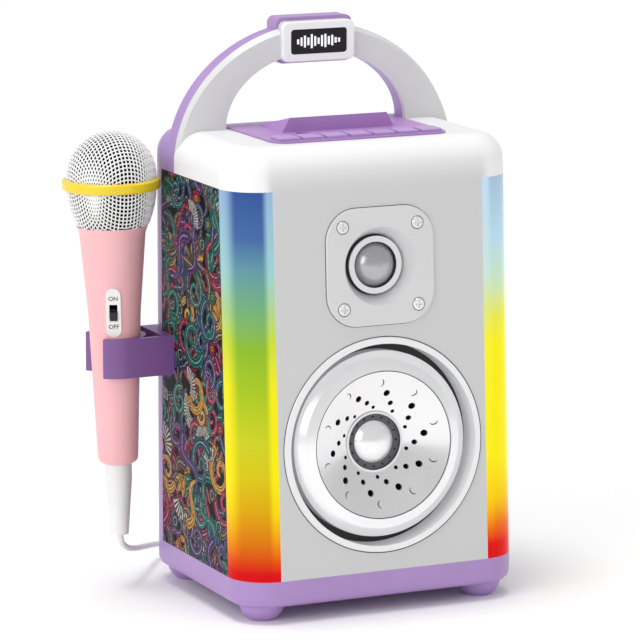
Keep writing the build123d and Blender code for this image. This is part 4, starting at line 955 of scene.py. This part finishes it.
@dataclass(frozen=True)
class MicHead:
    """The microphone's head: a crown and a bowl of pressed wire mesh that meet in the band."""

    center: Point = (*MIC_AXIS, 202.2)
    radius: float = 22.55
    crown_lift: float = 4.0
    bowl_arc: float = 52.5
    bowl_low: float = 20.4
    bowl_bend: float = 8.0
    overlap: float = 1.2
    collar_z: float = 180.5
    pitch: float = 2.05
    wire: float = 0.37
    wave: float = 0.2
    sides: int = 7
    dome_steps: int = 60
    bend_steps: int = 20
    wall_steps: int = 40
    rim_step: float = 0.5
    crown_rim: int = 15
    bowl_rim: int = 9

    def crown(self) -> PressedNet:
        """Net of the crown: a half sphere on a short straight rim.

        Returns:
            The net before it's cut.
        """
        rise = [math.pi / 2 * step / self.dome_steps for step in range(self.dome_steps + 1)]
        dome = [(self.radius * math.sin(a), self.crown_lift + self.radius * math.cos(a)) for a in rise]
        drops = [self.rim_step * (step + 1) for step in range(self.crown_rim)]
        rim = [(self.radius, self.crown_lift - drop) for drop in drops]
        return PressedNet(tuple(dome + rim), self.pitch)

    def bowl(self) -> PressedNet:
        """Net of the bowl: a wall that swells up to the band, from a rounded floor that is cut out.

        Returns:
            The net before it's cut.
        """
        offset = self.radius - self.bowl_arc
        lean = math.asin(self.bowl_low / self.bowl_arc)
        foot = offset + self.bowl_arc * math.cos(lean)
        turn = math.pi / 2 - lean
        flat = foot - self.bowl_bend * math.sin(turn)
        floor = -self.bowl_low - self.bowl_bend * (1 - math.cos(turn))
        points = [(flat * step / self.bend_steps, floor) for step in range(self.bend_steps)]
        for step in range(self.bend_steps):
            a = turn * step / self.bend_steps
            points.append((flat + self.bowl_bend * math.sin(a), floor + self.bowl_bend * (1 - math.cos(a))))
        for step in range(self.wall_steps + 1):
            a = lean * (1 - step / self.wall_steps)
            points.append((offset + self.bowl_arc * math.cos(a), -self.bowl_arc * math.sin(a)))
        points += [(self.radius, self.rim_step * (step + 1)) for step in range(self.bowl_rim)]
        return PressedNet(tuple(points), self.pitch)

    def kept(self, point: Vector, upper: bool) -> bool:
        """Whether a crossing lies on the part of a half that isn't cut away."""
        return point.z > -self.overlap if upper else self.collar_z - self.center[2] < point.z < self.overlap

    def wires(self, upper: bool) -> list[list[Vector]]:
        """Lines of the wires, each waving over and under those it crosses.

        Args:
            upper: Whether the crown is meant, or else the bowl.

        Returns:
            The points of each stretch of wire, in millimetres.
        """
        crossings = (self.crown() if upper else self.bowl()).crossings()
        reach = max(row for row, _ in crossings)
        lines: list[list[Vector]] = []
        for across in (False, True):
            for fixed in range(-reach, reach + 1):
                line: list[Vector] = []
                for moving in range(-reach, reach + 2):
                    key = (fixed, moving) if across else (moving, fixed)
                    point = crossings.get(key)
                    if point is None or not self.kept(point, upper):
                        if len(line) > 1:
                            lines.append(line)
                        line = []
                        continue
                    over = ((fixed + moving) % 2 == 0) != across
                    rise = max(0.0, point.z - self.crown_lift) if upper else 0.0
                    outward = Vector((point.x, point.y, rise))
                    lift = self.wave if over else -self.wave
                    line.append(point + outward.normalized() * lift + Vector(self.center))
        return lines

    def build(self) -> None:
        """Make the wires of both halves as one piece."""
        facets = Facets()
        for line in self.wires(True) + self.wires(False):
            facets.tube([point * MM for point in line], self.wire * MM, self.sides)
        lean = MicLean().matrix()
        facets.vertices = [lean @ vertex for vertex in facets.vertices]
        mesh = facets.piece("mic_mesh", WIRE_WHITE, Body.MICROPHONE, "mic_mesh")
        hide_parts("mic_grille")


@dataclass(frozen=True)
class MicSwitch:
    """Words on the microphone's switch plate, and the switch's dark body in the slot.

    Sizes are millimetres. The well is the dark body's width, length and depth under the plate.
    """

    height: float = 138.1
    radius: float = 13.567
    proud: float = 0.53
    tilt: float = math.atan2(3.5, 42.0)
    size: float = 3.1
    thickness: float = 0.01
    boldness: float = 0.03
    offset: float = 7.3
    well: tuple[float, float, float] = (5.4, 10.6, 2.35)

    def frame_at(self, rise: float) -> Matrix:
        """Placement on the plate.

        Args:
            rise: Millimetres above its middle.

        Returns:
            The placement in metres, on the leaning microphone.
        """
        azimuth = math.radians(MIC_AZIMUTH)
        level = Vector((math.sin(azimuth), -math.cos(azimuth), 0))
        across = Vector((math.cos(azimuth), math.sin(azimuth), 0))
        normal = level * math.cos(self.tilt) - Vector((0, 0, 1)) * math.sin(self.tilt)
        up = normal.cross(across)
        spot = Vector((*MIC_AXIS, self.height)) + level * self.radius + normal * self.proud + up * rise
        turn = Matrix((across, up, normal)).transposed().to_4x4()
        return MicLean().matrix() @ Matrix.Translation(spot * MM) @ turn

    def build_well(self) -> None:
        """Make the dark switch body that shows in the slot behind the slider."""
        width, length, depth = self.well
        place = self.frame_at(0.0)
        spots = [(x * width / 2, y * length / 2) for x, y in ((-1, -1), (1, -1), (1, 1), (-1, 1))]
        facets = Facets()
        facets.polygon([place @ (Vector((x, y, -depth - self.proud)) * MM) for x, y in spots])
        facets.piece("switch_well", FOAM_AND_SHADE_BLACK, Body.MICROPHONE, "black_plastic")

    def build(self) -> None:
        """Put ON above the slider and OFF below it."""
        self.build_well()
        for word, rise in (("ON", self.offset), ("OFF", -self.offset)):
            curve = bpy.data.curves.new(f"word_{word.lower()}", "FONT")
            curve.body = word
            curve.align_x = "CENTER"
            curve.align_y = "CENTER"
            curve.size = self.size * MM
            curve.extrude = self.thickness * MM
            curve.offset = self.boldness * MM
            text = link_object(f"word_{word.lower()}", curve)
            bpy.context.view_layer.update()
            mesh = bpy.data.meshes.new_from_object(text)
            bpy.data.objects.remove(text)
            mesh.transform(self.frame_at(rise))
            piece = link_object(f"switch_word_{word.lower()}", mesh)
            mesh.materials.clear()
            mesh.materials.append(MARK_BLACK.material())
            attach(piece, Body.MICROPHONE.value)
            log.info("made %s with %d faces", piece.name, len(mesh.polygons))


# ---- printed side panels ----


@dataclass(frozen=True)
class Mark:
    """Place, size, turn and colour of one motif, in millimetres and radians."""

    x: float
    y: float
    size: float
    turn: float
    color: Color

    def shade(self, share: float, lift: float = 0.0) -> Color:
        """The motif's colour made darker or brighter."""
        return tuple(min(1.0, c * share + lift) for c in self.color)


class Motif(Enum):
    """Forms of the print."""

    SPIRAL = "spiral"
    WAVE = "wave"
    LEAVES = "leaves"
    ROSETTE = "rosette"
    FAN = "fan"
    DOTS = "dots"


class Scrollwork:
    """A generic print of ribbons, leaves, rosettes and dots, painted over a fine grid."""

    INK: Color = (0.012, 0.012, 0.018)
    LINE: Color = (0.74, 0.73, 0.70)
    GOLD: Color = (0.66, 0.47, 0.14)
    PALETTE: tuple[Color, ...] = (
        (0.06, 0.33, 0.30),
        (0.46, 0.08, 0.19),
        (0.27, 0.17, 0.38),
        (0.33, 0.26, 0.20),
        GOLD,
        (0.15, 0.21, 0.34),
        (0.52, 0.11, 0.26),
        (0.07, 0.38, 0.34),
        (0.28, 0.24, 0.27),
        (0.10, 0.28, 0.33),
    )
    OUTLINE: float = 0.6
    MARGIN: float = 2.0
    FLOWERS: tuple[Motif, ...] = (Motif.ROSETTE, Motif.FAN, Motif.DOTS)
    # grid of spots that a layer's motifs are set on, and the motifs that it has in turn
    LAYERS: tuple[tuple[float, float, tuple[Motif, ...]], ...] = (
        (13.0, 13.0, (Motif.SPIRAL, Motif.WAVE, Motif.LEAVES)),
        (12.0, 12.5, (Motif.SPIRAL,) * 4 + (Motif.WAVE,) * 2 + (Motif.LEAVES,) * 2 + FLOWERS),
    )
    JITTER: float = 3.0
    FLECKS: int = 220
    CURL: float = 8.4  # radians that a spiral turns by
    CURL_STEPS: int = 25
    SWING: float = 0.42  # how far a wave swings to each side, as a share of its size
    SWING_STEPS: int = 21

    def __init__(self, width: float, height: float, cell: float, seed: int) -> None:
        """Set up an empty canvas.

        Args:
            width: Width in millimetres.
            height: Height in millimetres.
            cell: Side of a grid cell in millimetres.
            seed: Seed of the layout.
        """
        self.width, self.height, self.cell = width, height, cell
        self.columns, self.rows = int(width / cell) + 1, int(height / cell) + 1
        across, up = np.linspace(0, width, self.columns), np.linspace(0, height, self.rows)
        self.all_x, self.all_y = np.meshgrid(across, up)
        self.paint = np.empty((self.rows, self.columns, 3))
        self.paint[:] = self.INK
        self.dice = random.Random(seed)
        self.soft = cell * 0.7

    def window(self, mark: Mark, reach: float) -> np.ndarray:
        """Limit the following strokes to a square around a motif.

        Args:
            mark: The motif.
            reach: How far the square goes to each side, in millimetres.

        Returns:
            Distance of each of its cells from the motif's middle.
        """
        low_x, high_x = (int(np.clip((mark.x + d) / self.cell, 0, self.columns)) for d in (-reach, reach))
        low_y, high_y = (int(np.clip((mark.y + d) / self.cell, 0, self.rows)) for d in (-reach, reach))
        self.part = (slice(low_y, high_y + 1), slice(low_x, high_x + 1))
        self.x, self.y = self.all_x[self.part], self.all_y[self.part]
        return np.hypot(self.x - mark.x, self.y - mark.y)

    def lay(self, distance: np.ndarray, color: Color) -> None:
        """Paint where a distance is negative, with a soft edge."""
        share = np.clip(0.5 - distance / self.soft, 0, 1)[..., None]
        self.paint[self.part] = self.paint[self.part] * (1 - share) + np.array(color) * share

    def lay_form(self, distance: np.ndarray, outline: float, color: Color) -> None:
        """Paint a form in a colour over a dark outline of some width."""
        self.lay(distance - outline, self.INK)
        self.lay(distance, color)

    def dots(self, mark: Mark) -> None:
        """Paint a target of a dot and two rings.

        Args:
            mark: Its place, radius and colour.
        """
        far = self.window(mark, mark.size + self.MARGIN)
        self.lay(far - mark.size, self.INK)
        self.lay(np.abs(far - mark.size * 0.9) - 0.28, mark.color)
        self.lay(np.abs(far - mark.size * 0.58) - 0.25, self.LINE)
        self.lay(far - mark.size * 0.28, mark.color)

    def ribbon(self, mark: Mark, points: list[tuple[float, float]], width: float) -> None:
        """Paint a tapering ribbon, with an outline, stripes along it and a bright edge.

        Args:
            mark: The motif that it belongs to.
            points: Points along its middle.
            width: Its width at the start.
        """
        count = len(points)
        reach = np.full_like(self.x, 1e9)
        core = np.full_like(self.x, 1e9)
        for index in range(count - 1):
            (ax, ay), (bx, by) = points[index], points[index + 1]
            dx, dy = bx - ax, by - ay
            share = np.clip(((self.x - ax) * dx + (self.y - ay) * dy) / (dx * dx + dy * dy), 0, 1)
            away = np.hypot(self.x - ax - share * dx, self.y - ay - share * dy)
            local = width * (1.0 - 0.75 * (index + share) / count)
            closer = away - local < reach
            reach = np.where(closer, away - local, reach)
            core = np.where(closer, away / local, core)
        self.lay_form(reach, self.OUTLINE, mark.color)
        self.lay(np.where(reach < 0, np.abs(core - 0.52) * width - 0.3, 1.0), mark.shade(0.5))
        self.lay(np.abs(reach + 0.15) - 0.25, mark.shade(1.35, 0.06))
        self.lay(np.where(reach < -0.2, core * width - 0.22, 1.0), self.LINE)

    def spiral(self, mark: Mark, way: int) -> None:
        """Paint a ribbon that curls into a spiral.

        Args:
            mark: Its place, size, turn and colour.
            way: Sign of its direction.
        """
        self.window(mark, mark.size * 1.25 + self.MARGIN)
        points = []
        for step in range(self.CURL_STEPS + 1):
            share = step / self.CURL_STEPS
            radius = mark.size * (1.0 - 0.88 * share)
            angle = mark.turn + way * share * self.CURL
            points.append((mark.x + radius * math.cos(angle), mark.y + radius * math.sin(angle)))
        self.ribbon(mark, points, mark.size * 0.19)

    def wave(self, mark: Mark) -> None:
        """Paint a long ribbon that swings to both sides.

        Args:
            mark: Its place, size, turn and colour.
        """
        self.window(mark, mark.size * 1.5 + self.MARGIN)
        cos, sin = math.cos(mark.turn), math.sin(mark.turn)
        points = []
        for step in range(self.SWING_STEPS + 1):
            share = step / self.SWING_STEPS - 0.5
            u, v = 2.4 * mark.size * share, self.SWING * mark.size * math.sin(share * 6.0)
            points.append((mark.x + u * cos - v * sin, mark.y + u * sin + v * cos))
        self.ribbon(mark, points, mark.size * 0.24)

    def leaf(self, mark: Mark) -> None:
        """Paint a pointed leaf with a vein and side veins.

        Args:
            mark: Its place, length, turn and colour.
        """
        self.window(mark, mark.size + self.MARGIN)
        cos, sin = math.cos(mark.turn), math.sin(mark.turn)
        u = (self.x - mark.x) * cos + (self.y - mark.y) * sin
        v = -(self.x - mark.x) * sin + (self.y - mark.y) * cos
        share = np.clip(u / mark.size, 0, 1)
        half = mark.size * 0.24 * np.sin(np.pi * share) ** 0.8
        inside = (u > 0) & (u < mark.size)
        body = np.where(inside, np.abs(v) - half, np.abs(v) + np.abs(u - mark.size * share))
        self.lay_form(body, 0.5, mark.color)
        veins = np.mod(u - np.abs(v) * 0.9, 2.4) - 0.35
        self.lay(np.where(body < -0.3, veins, 1.0), mark.shade(0.45))
        self.lay(np.where(body < 0, np.abs(v) - 0.2, 1.0), self.LINE)

    def rosette(self, mark: Mark, petals: int) -> None:
        """Paint a flower with round petals.

        Args:
            mark: Its place, size and colour.
            petals: Number of petals.
        """
        far = self.window(mark, mark.size + self.MARGIN)
        angle = np.arctan2(self.y - mark.y, self.x - mark.x)
        edge = mark.size * (0.72 + 0.28 * np.abs(np.cos(angle * petals / 2)))
        self.lay_form(far - edge, self.OUTLINE, mark.color)
        self.lay(far - edge * 0.6, mark.shade(0.4))
        self.lay(far - mark.size * 0.38, self.GOLD)
        self.lay(far - mark.size * 0.15, self.INK)

    def fan(self, mark: Mark, stripes: int) -> None:
        """Paint an open fan of pale and dark stripes.

        Args:
            mark: Its place, size and turn.
            stripes: Number of stripes.
        """
        far = self.window(mark, mark.size + self.MARGIN)
        turned = np.arctan2(self.y - mark.y, self.x - mark.x) - mark.turn
        angle = np.mod(turned + math.pi, math.tau) - math.pi
        ring = np.maximum(far - mark.size, mark.size * 0.4 - far)
        body = np.maximum(ring, (np.abs(angle) - 1.15) * mark.size * 0.6)
        self.lay_form(body, 0.5, self.LINE)
        dark = (np.abs(np.mod(angle * stripes / 2.3, 1.0) - 0.5) - 0.24) * far * 0.5
        self.lay(np.where(body < -0.2, dark, 1.0), self.INK)

    def motif(self, kind: Motif, x: float, y: float) -> None:
        """Paint one motif.

        Args:
            kind: Its form.
            x: Its place across the canvas.
            y: Its place up the canvas.
        """
        dice = self.dice
        color = self.PALETTE[dice.randrange(len(self.PALETTE))]
        turn = dice.uniform(0, math.tau)

        def mark(low: float, high: float, spread: float = 0.0) -> Mark:
            """A mark here of a random size."""
            return Mark(x, y, dice.uniform(low, high), turn + spread, color)

        if kind is Motif.SPIRAL:
            self.spiral(mark(7.0, 13.0), dice.choice((-1, 1)))
        elif kind is Motif.WAVE:
            self.wave(mark(9.0, 14.0))
        elif kind is Motif.LEAVES:
            for spread in (-0.62, 0.0, 0.62):
                self.leaf(mark(8.0, 13.0, spread))
        elif kind is Motif.ROSETTE:
            self.rosette(mark(3.4, 5.2), dice.choice((5, 6, 8)))
        elif kind is Motif.FAN:
            self.fan(mark(8.0, 12.0), dice.choice((9, 11, 13)))
        else:
            self.dots(mark(3.0, 4.6))

    def draw(self) -> np.ndarray:
        """Paint the whole layout from back to front.

        Returns:
            The colours, by row from the bottom up and by column.
        """
        dice = self.dice
        for step_x, step_y, kinds in self.LAYERS:
            spots: list[tuple[float, float]] = []
            for row in range(int(self.height / step_y) + 2):
                for column in range(int(self.width / step_x) + 2):
                    x = column * step_x + 0.5 * step_x * (row % 2) + dice.uniform(-self.JITTER, self.JITTER)
                    spots.append((x, row * step_y + dice.uniform(-self.JITTER, self.JITTER)))
            dice.shuffle(spots)
            for number, (x, y) in enumerate(spots):
                self.motif(kinds[number % len(kinds)], x, y)
        for _ in range(self.FLECKS):
            x, y = dice.uniform(0, self.width), dice.uniform(0, self.height)
            fleck = Mark(x, y, dice.uniform(0.4, 0.8), 0.0, self.INK)
            far = self.window(fleck, fleck.size + 1)
            self.lay(far - fleck.size, dice.choice(self.PALETTE))
        return self.paint


@dataclass(frozen=True)
class SidePanels:
    """Printed sheets that cover the two side panels."""

    cell: float = 0.5
    lift: float = 0.05
    inset: float = 0.4

    def finish(self) -> bpy.types.Material:
        """Build the glossy laminate over the print.

        Returns:
            The material.
        """
        material = bpy.data.materials.new("printed_sheet")
        shading = Shading(material)
        shading.feed(
            {
                "Specular IOR Level": 0.08,
                "Base Color": shading.add("VertexColor", "Color", {}, layer_name="Print"),
                "Roughness": shading.spread(shading.noise(300.0), 0.4, 0.5),
            }
        )
        return material

    def build_side(self, side: Side, seed: int, laminate: bpy.types.Material) -> None:
        """Lay the print on one panel.

        Args:
            side: The panel's side.
            seed: Seed of the layout.
            laminate: Material of the sheet.
        """
        name = side.name.lower()
        low, high = (Vector(corner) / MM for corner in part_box(f"side_panel_{name}"))
        height = high.z - low.z - 2 * self.inset
        width = high.y - low.y - 2 * self.inset
        canvas = Scrollwork(width, height, self.cell, seed)
        paint = canvas.draw()
        x = (high.x if side is Side.RIGHT else low.x) + side.value * self.lift
        vertices, keep = [], []
        for row in range(canvas.rows):
            z = low.z + self.inset + canvas.all_y[row, 0]
            front = low.y + (z - low.z) * math.tan(FACE_LEAN) + self.inset
            back = high.y - self.inset
            for column in range(canvas.columns):
                y = back - canvas.all_x[row, column]
                vertices.append(Vector((x, max(y, front), z)) * MM)
                keep.append(y > front - self.cell * 0.98)
        faces = []
        for row in range(canvas.rows - 1):
            for column in range(canvas.columns - 1):
                a = row * canvas.columns + column
                quad = (a, a + 1, a + 1 + canvas.columns, a + canvas.columns)
                if all(keep[index] for index in quad):
                    faces.append(quad if side is Side.LEFT else tuple(reversed(quad)))
        sheet = mesh_object(f"side_print_{name}", vertices, faces, smooth=False)
        shades = sheet.data.color_attributes.new("Print", "BYTE_COLOR", "POINT")
        flat = np.ones((canvas.rows * canvas.columns, 4), dtype=np.float32)
        painted = np.clip(paint.reshape(-1, 3), 0, 1)
        flat[:, :3] = np.where(painted <= 0.04045, painted / 12.92, ((painted + 0.055) / 1.055) ** 2.4)
        shades.data.foreach_set("color", flat.ravel())
        sheet.data.materials.append(laminate)
        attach(sheet, Body.CABINET.value)
        log.info("printed %s with %d faces", sheet.name, len(sheet.data.polygons))

    def build(self) -> None:
        """Lay both prints."""
        laminate = self.finish()
        self.build_side(Side.LEFT, 11, laminate)
        self.build_side(Side.RIGHT, 29, laminate)


# ---- light columns ----

RED_FOOT: Band = (0.0, 0.87, 0.02, 0.05)


@dataclass(frozen=True)
class LightColumns:
    """The two lit corner diffusers."""

    left: RainbowFinish = RainbowFinish(
        "rainbow_left",
        (
            (0.0, 0.87, 0.02, 0.06),
            (0.02, 0.87, 0.03, 0.06),
            (0.05, 0.88, 0.27, 0.03),
            (0.10, 0.88, 0.48, 0.02),
            (0.19, 0.89, 0.68, 0.03),
            (0.27, 0.87, 0.79, 0.08),
            (0.36, 0.82, 0.83, 0.14),
            (0.47, 0.69, 0.80, 0.13),
            (0.60, 0.56, 0.75, 0.18),
            (0.70, 0.46, 0.70, 0.48),
            (0.80, 0.40, 0.61, 0.66),
            (0.88, 0.28, 0.43, 0.66),
            (1.0, 0.22, 0.35, 0.62),
        ),
        (
            RED_FOOT,
            (0.02, 0.88, 0.03, 0.05),
            (0.05, 0.92, 0.32, 0.02),
            (0.10, 0.96, 0.60, 0.02),
            (0.17, 0.99, 0.84, 0.02),
            (0.26, 1.0, 0.94, 0.03),
            (0.50, 0.98, 0.94, 0.10),
            (0.62, 0.82, 0.88, 0.24),
            (0.70, 0.70, 0.85, 0.58),
            (0.80, 0.64, 0.83, 0.84),
            (1.0, 0.60, 0.73, 0.87),
        ),
        strength=0.72,
        edge=Side.LEFT,
    )
    right: RainbowFinish = RainbowFinish(
        "rainbow_right",
        (
            RED_FOOT,
            (0.04, 0.89, 0.06, 0.05),
            (0.09, 0.94, 0.45, 0.02),
            (0.16, 0.98, 0.80, 0.0),
            (0.26, 1.0, 0.93, 0.0),
            (0.56, 0.99, 0.94, 0.04),
            (0.64, 0.92, 0.92, 0.30),
            (0.72, 0.80, 0.90, 0.74),
            (0.84, 0.72, 0.86, 0.92),
            (1.0, 0.66, 0.75, 0.84),
        ),
        (
            RED_FOOT,
            (0.04, 0.90, 0.06, 0.05),
            (0.08, 0.96, 0.45, 0.03),
            (0.15, 1.0, 0.80, 0.04),
            (0.28, 1.0, 0.94, 0.10),
            (0.58, 0.98, 0.95, 0.20),
            (0.66, 0.88, 0.92, 0.50),
            (0.76, 0.80, 0.90, 0.88),
            (1.0, 0.76, 0.87, 0.97),
        ),
        strength=0.75,
        edge=Side.RIGHT,
    )

    def build(self) -> None:
        """Give each diffuser its bands of light."""
        paint("light_pipe_left", self.left.material())
        paint("light_pipe_right", self.right.material())


# ---- dress of the front ----


@dataclass(frozen=True)
class BadgeDisplay:
    """Generic level bars on the badge's display.

    Sizes are millimetres, as in the construction model.
    """

    center_z: float = 271.7
    face_y: float = 18.8
    width: float = 31.4
    height: float = 12.7
    border: float = 1.3
    side_space: float = 2.0
    end_space: float = 1.5
    lift: float = 0.06
    bar_share: float = 0.6
    bars: tuple[float, ...] = (0.35, 0.6, 0.85, 0.55, 1.0, 0.7, 0.45, 0.8, 0.95, 0.6, 0.75, 0.4, 0.3)

    def build(self) -> None:
        """Make the bars as one piece just over the glass."""
        facets = Facets()
        reach = self.width / 2 - self.border - self.side_space
        tallest = self.height - 2 * self.border - 2 * self.end_space
        pitch = 2 * reach / len(self.bars)
        half = pitch * self.bar_share / 2
        for number, level in enumerate(self.bars):
            x = -reach + pitch * (number + 0.5)
            rise = tallest * level / 2
            corners = ((x - half, -rise), (x + half, -rise), (x + half, rise), (x - half, rise))
            y = self.face_y - self.lift
            facets.polygon([Vector((across, y, self.center_z + up)) * MM for across, up in corners])
        facets.piece("display_bars", MARK_WHITE, Body.CABINET, "white_plastic")


def on_face(x: float, up: float, out: float) -> Vector:
    """Point on the leaning front face.

    Args:
        x: Millimetres across, from the middle.
        up: Millimetres up the face, from the base.
        out: Millimetres out of the face.

    Returns:
        The point in metres.
    """
    along = Vector((0, math.sin(FACE_LEAN), math.cos(FACE_LEAN)))
    outward = Vector((0, -math.cos(FACE_LEAN), math.sin(FACE_LEAN)))
    return (Vector((x, FACE_Y, BASE_HEIGHT)) + along * up + outward * out) * MM


@dataclass(frozen=True)
class WooferDress:
    """Small raised scales on the woofer's cone, and painted shade: dark grey on the scales, dark discs in
    the cone's holes and dark rings in the gaps round its rings.

    Sizes are millimetres, as in the construction model. The rim and the hub are the radius and
    depth of the cone's two ends, and a seam shade is the inner and outer radius of a dark ring and how far
    it's lifted.
    """

    up: float = 63.8
    rim: tuple[float, float] = (37.0, 0.4)
    hub: tuple[float, float] = (15.4, -10.5)
    count: int = 10
    scale_at: float = 30.7
    scale_angle: float = 17.7
    scale_radius: float = 2.0
    scale_bend: float = 2.5
    scale_steps: int = 9
    scale_thickness: float = 0.34
    # painted shade: dark discs sunk a little into the smallest holes of the cone
    hole_shade_at: float = 17.8
    hole_shade_angle: float = -15.3
    hole_shade_radius: float = 0.94
    hole_shade_depth: float = 0.25
    hole_shade_sides: int = 16
    # painted shade: dark rings in the gaps round the trim and round the cone
    seam_shades: tuple[tuple[float, float, float], ...] = ((54.35, 54.75, 0.06), (36.95, 37.25, 0.5))
    seam_shade_sides: int = 128

    def on_cone(self, x: float, y: float, lift: float) -> Vector:
        """Point over the cone's surface, in metres."""
        share = (math.hypot(x, y) - self.hub[0]) / (self.rim[0] - self.hub[0])
        return on_face(x, self.up + y, self.hub[1] + share * (self.rim[1] - self.hub[1]) + lift)

    def ring(self, radius: float, sides: int) -> list[tuple[float, float]]:
        """Points of a circle round the origin."""
        angles = [math.tau * step / sides for step in range(sides)]
        return [(radius * math.cos(angle), radius * math.sin(angle)) for angle in angles]

    def spots(self, at: float, angle: float) -> list[tuple[float, float, float]]:
        """Turn, x and y of each spot on a ring, from the ring's radius and its first angle."""
        turns = [math.radians(angle + number * 360.0 / self.count) for number in range(self.count)]
        return [(turn, at * math.cos(turn), at * math.sin(turn)) for turn in turns]

    def build_scales(self) -> None:
        """Make the crescents that stand out of the cone; their dark grey is painted shade on what is the
        cone's silver.
        """
        facets = Facets()
        for turn, cx, cy in self.spots(self.scale_at, self.scale_angle):
            rows: list[list[Vector]] = []
            for step in range(self.scale_steps + 1):
                share = step / self.scale_steps
                bend = turn - math.pi / 2 + self.scale_bend * (share - 0.5)
                thick = self.scale_thickness * math.sin(math.pi * (0.08 + 0.84 * share))
                radii = (
                    (self.scale_radius - thick, 0.02),
                    (self.scale_radius, 0.2),
                    (self.scale_radius + thick, 0.02),
                )
                cos, sin = math.cos(bend), math.sin(bend)
                rows.append([self.on_cone(cx + r * cos, cy + r * sin, lift) for r, lift in radii])
            facets.strip(rows)
        # painted shade: the scales are of the cone's silver, given the hub seat's dark grey
        facets.piece("cone_scales", SEAT_GREY_AND_SHADE, Body.CABINET, "silver_chrome")

    def build_hole_shades(self) -> None:
        """Make dark discs inside the smallest holes of the cone, as painted shade."""
        facets = Facets()
        rim = self.ring(self.hole_shade_radius, self.hole_shade_sides)
        for _, cx, cy in self.spots(self.hole_shade_at, self.hole_shade_angle):
            facets.polygon([self.on_cone(cx + x, cy + y, -self.hole_shade_depth) for x, y in rim])
        facets.piece("cone_hole_shades", FOAM_AND_SHADE_BLACK, Body.CABINET, "black_plastic")

    def build_seam_shades(self) -> None:
        """Make thin dark rings of painted shade in the gaps round the trim ring and round the cone."""
        facets = Facets()
        for inner, outer, lift in self.seam_shades:
            rings = zip(self.ring(inner, self.seam_shade_sides), self.ring(outer, self.seam_shade_sides))
            facets.strip([[on_face(x, self.up + y, lift) for x, y in row] for row in rings], closed=True)
        facets.piece("woofer_seam_shades", FOAM_AND_SHADE_BLACK, Body.CABINET, "black_plastic")

    def build(self) -> None:
        """Dress the woofer."""
        self.build_hole_shades()
        self.build_seam_shades()
        self.build_scales()


@dataclass(frozen=True)
class TweeterDress:
    """Thin dark ring of painted shade in the gap round the tweeter's square plate, in millimetres."""

    up: float = 153.85
    half: float = 29.55
    corner: float = 16.5
    width: float = 0.3
    lift: float = 0.06
    steps: int = 12

    def build(self) -> None:
        """Make the painted shade as a flat ring with round corners."""
        middle = self.half - self.corner
        rows: list[list[Vector]] = []
        for number, (sx, sy) in enumerate(((1, 1), (-1, 1), (-1, -1), (1, -1))):
            for step in range(self.steps + 1):
                angle = math.pi / 2 * (number + step / self.steps)
                row: list[Vector] = []
                for r in (self.corner, self.corner + self.width):
                    x, y = sx * middle + r * math.cos(angle), sy * middle + r * math.sin(angle)
                    row.append(on_face(x, self.up + y, self.lift))
                rows.append(row)
        facets = Facets()
        facets.strip(rows, closed=True)
        # painted shade: a dark ring in the gap round the plate
        facets.piece("tweeter_seam_shade", FOAM_AND_SHADE_BLACK, Body.CABINET, "black_plastic")


# ---- stage ----


@dataclass(frozen=True)
class Studio:
    """Pale floor, an even pale room and soft lights."""

    floor_z: float = -0.008
    floor_half: float = 8.0
    sky_strength: float = 0.62
    sky_levels: tuple[tuple[float, float], ...] = ((0.0, 1.0), (0.5, 1.15), (0.62, 0.95), (1.0, 1.0))
    sun_from: Point = (-0.12, 0.04, 0.99)
    sun_strength: float = 1.5
    sun_spread: float = 28.0
    softbox_at: Point = (-1.8, -0.9, 1.0)
    softbox_size: float = 1.3
    softbox_power: float = 13.0
    softbox_aim: Point = (0.0, 0.0, 0.12)

    def sky(self) -> None:
        """Surround the scene with the room, brightest level with the floor's far edge."""
        world = bpy.data.worlds.new("studio")
        bpy.context.scene.world = world
        shading = Shading(world, "Background")
        height = {"From Min": -1.0, "Value": shading.part("Generated", "Z")}
        stops = [(share, (level, level, level, 1.0)) for share, level in self.sky_levels]
        color = shading.ramp(shading.add("MapRange", "Result", height), stops)
        shading.feed({"Strength": self.sky_strength, "Color": color})

    def light(self, name: str, kind: str, at: Point, way: Vector, energy: float) -> bpy.types.Light:
        """Hang a light.

        Args:
            name: Its name.
            kind: Either SUN or AREA.
            at: Where it hangs.
            way: The direction of its light.
            energy: Its strength.

        Returns:
            The light's data.
        """
        lamp = bpy.data.lights.new(name, kind)
        lamp.energy = energy
        link_object(name, lamp).matrix_world = aimed(Vector(at), way, "-Z")
        return lamp

    def build(self) -> None:
        """Lay the floor and hang the lights."""
        signs = ((-1, -1), (1, -1), (1, 1), (-1, 1))
        corners = [(x * self.floor_half, y * self.floor_half, self.floor_z) for x, y in signs]
        floor = mesh_object("floor", corners, [(0, 1, 2, 3)], smooth=False)
        finish = Finish("floor_white", (0.98, 0.98, 0.98), roughness=0.75, grain=0.0, mottle=0.001)
        floor.data.materials.append(finish.material())
        self.sky()
        sun = self.light("sun", "SUN", (0.0, 0.0, 0.0), -Vector(self.sun_from), self.sun_strength)
        sun.angle = math.radians(self.sun_spread)
        way = Vector(self.softbox_aim) - Vector(self.softbox_at)
        softbox = self.light("softbox", "AREA", self.softbox_at, way, self.softbox_power)
        softbox.shape = "SQUARE"
        softbox.size = self.softbox_size
        bpy.context.scene.view_settings.view_transform = "Standard"
        bpy.context.scene.view_settings.look = "None"


def main() -> None:
    """Build every group in order."""
    logging.basicConfig(level=logging.INFO, format="%(message)s")
    Viewpoint().build()
    MicCord().build()
    paint_cad()
    LightColumns().build()
    MicHead().build()
    MicSwitch().build()
    SidePanels().build()
    BadgeDisplay().build()
    WooferDress().build()
    TweeterDress().build()
    Studio().build()


if __name__ == "__main__":
    main()
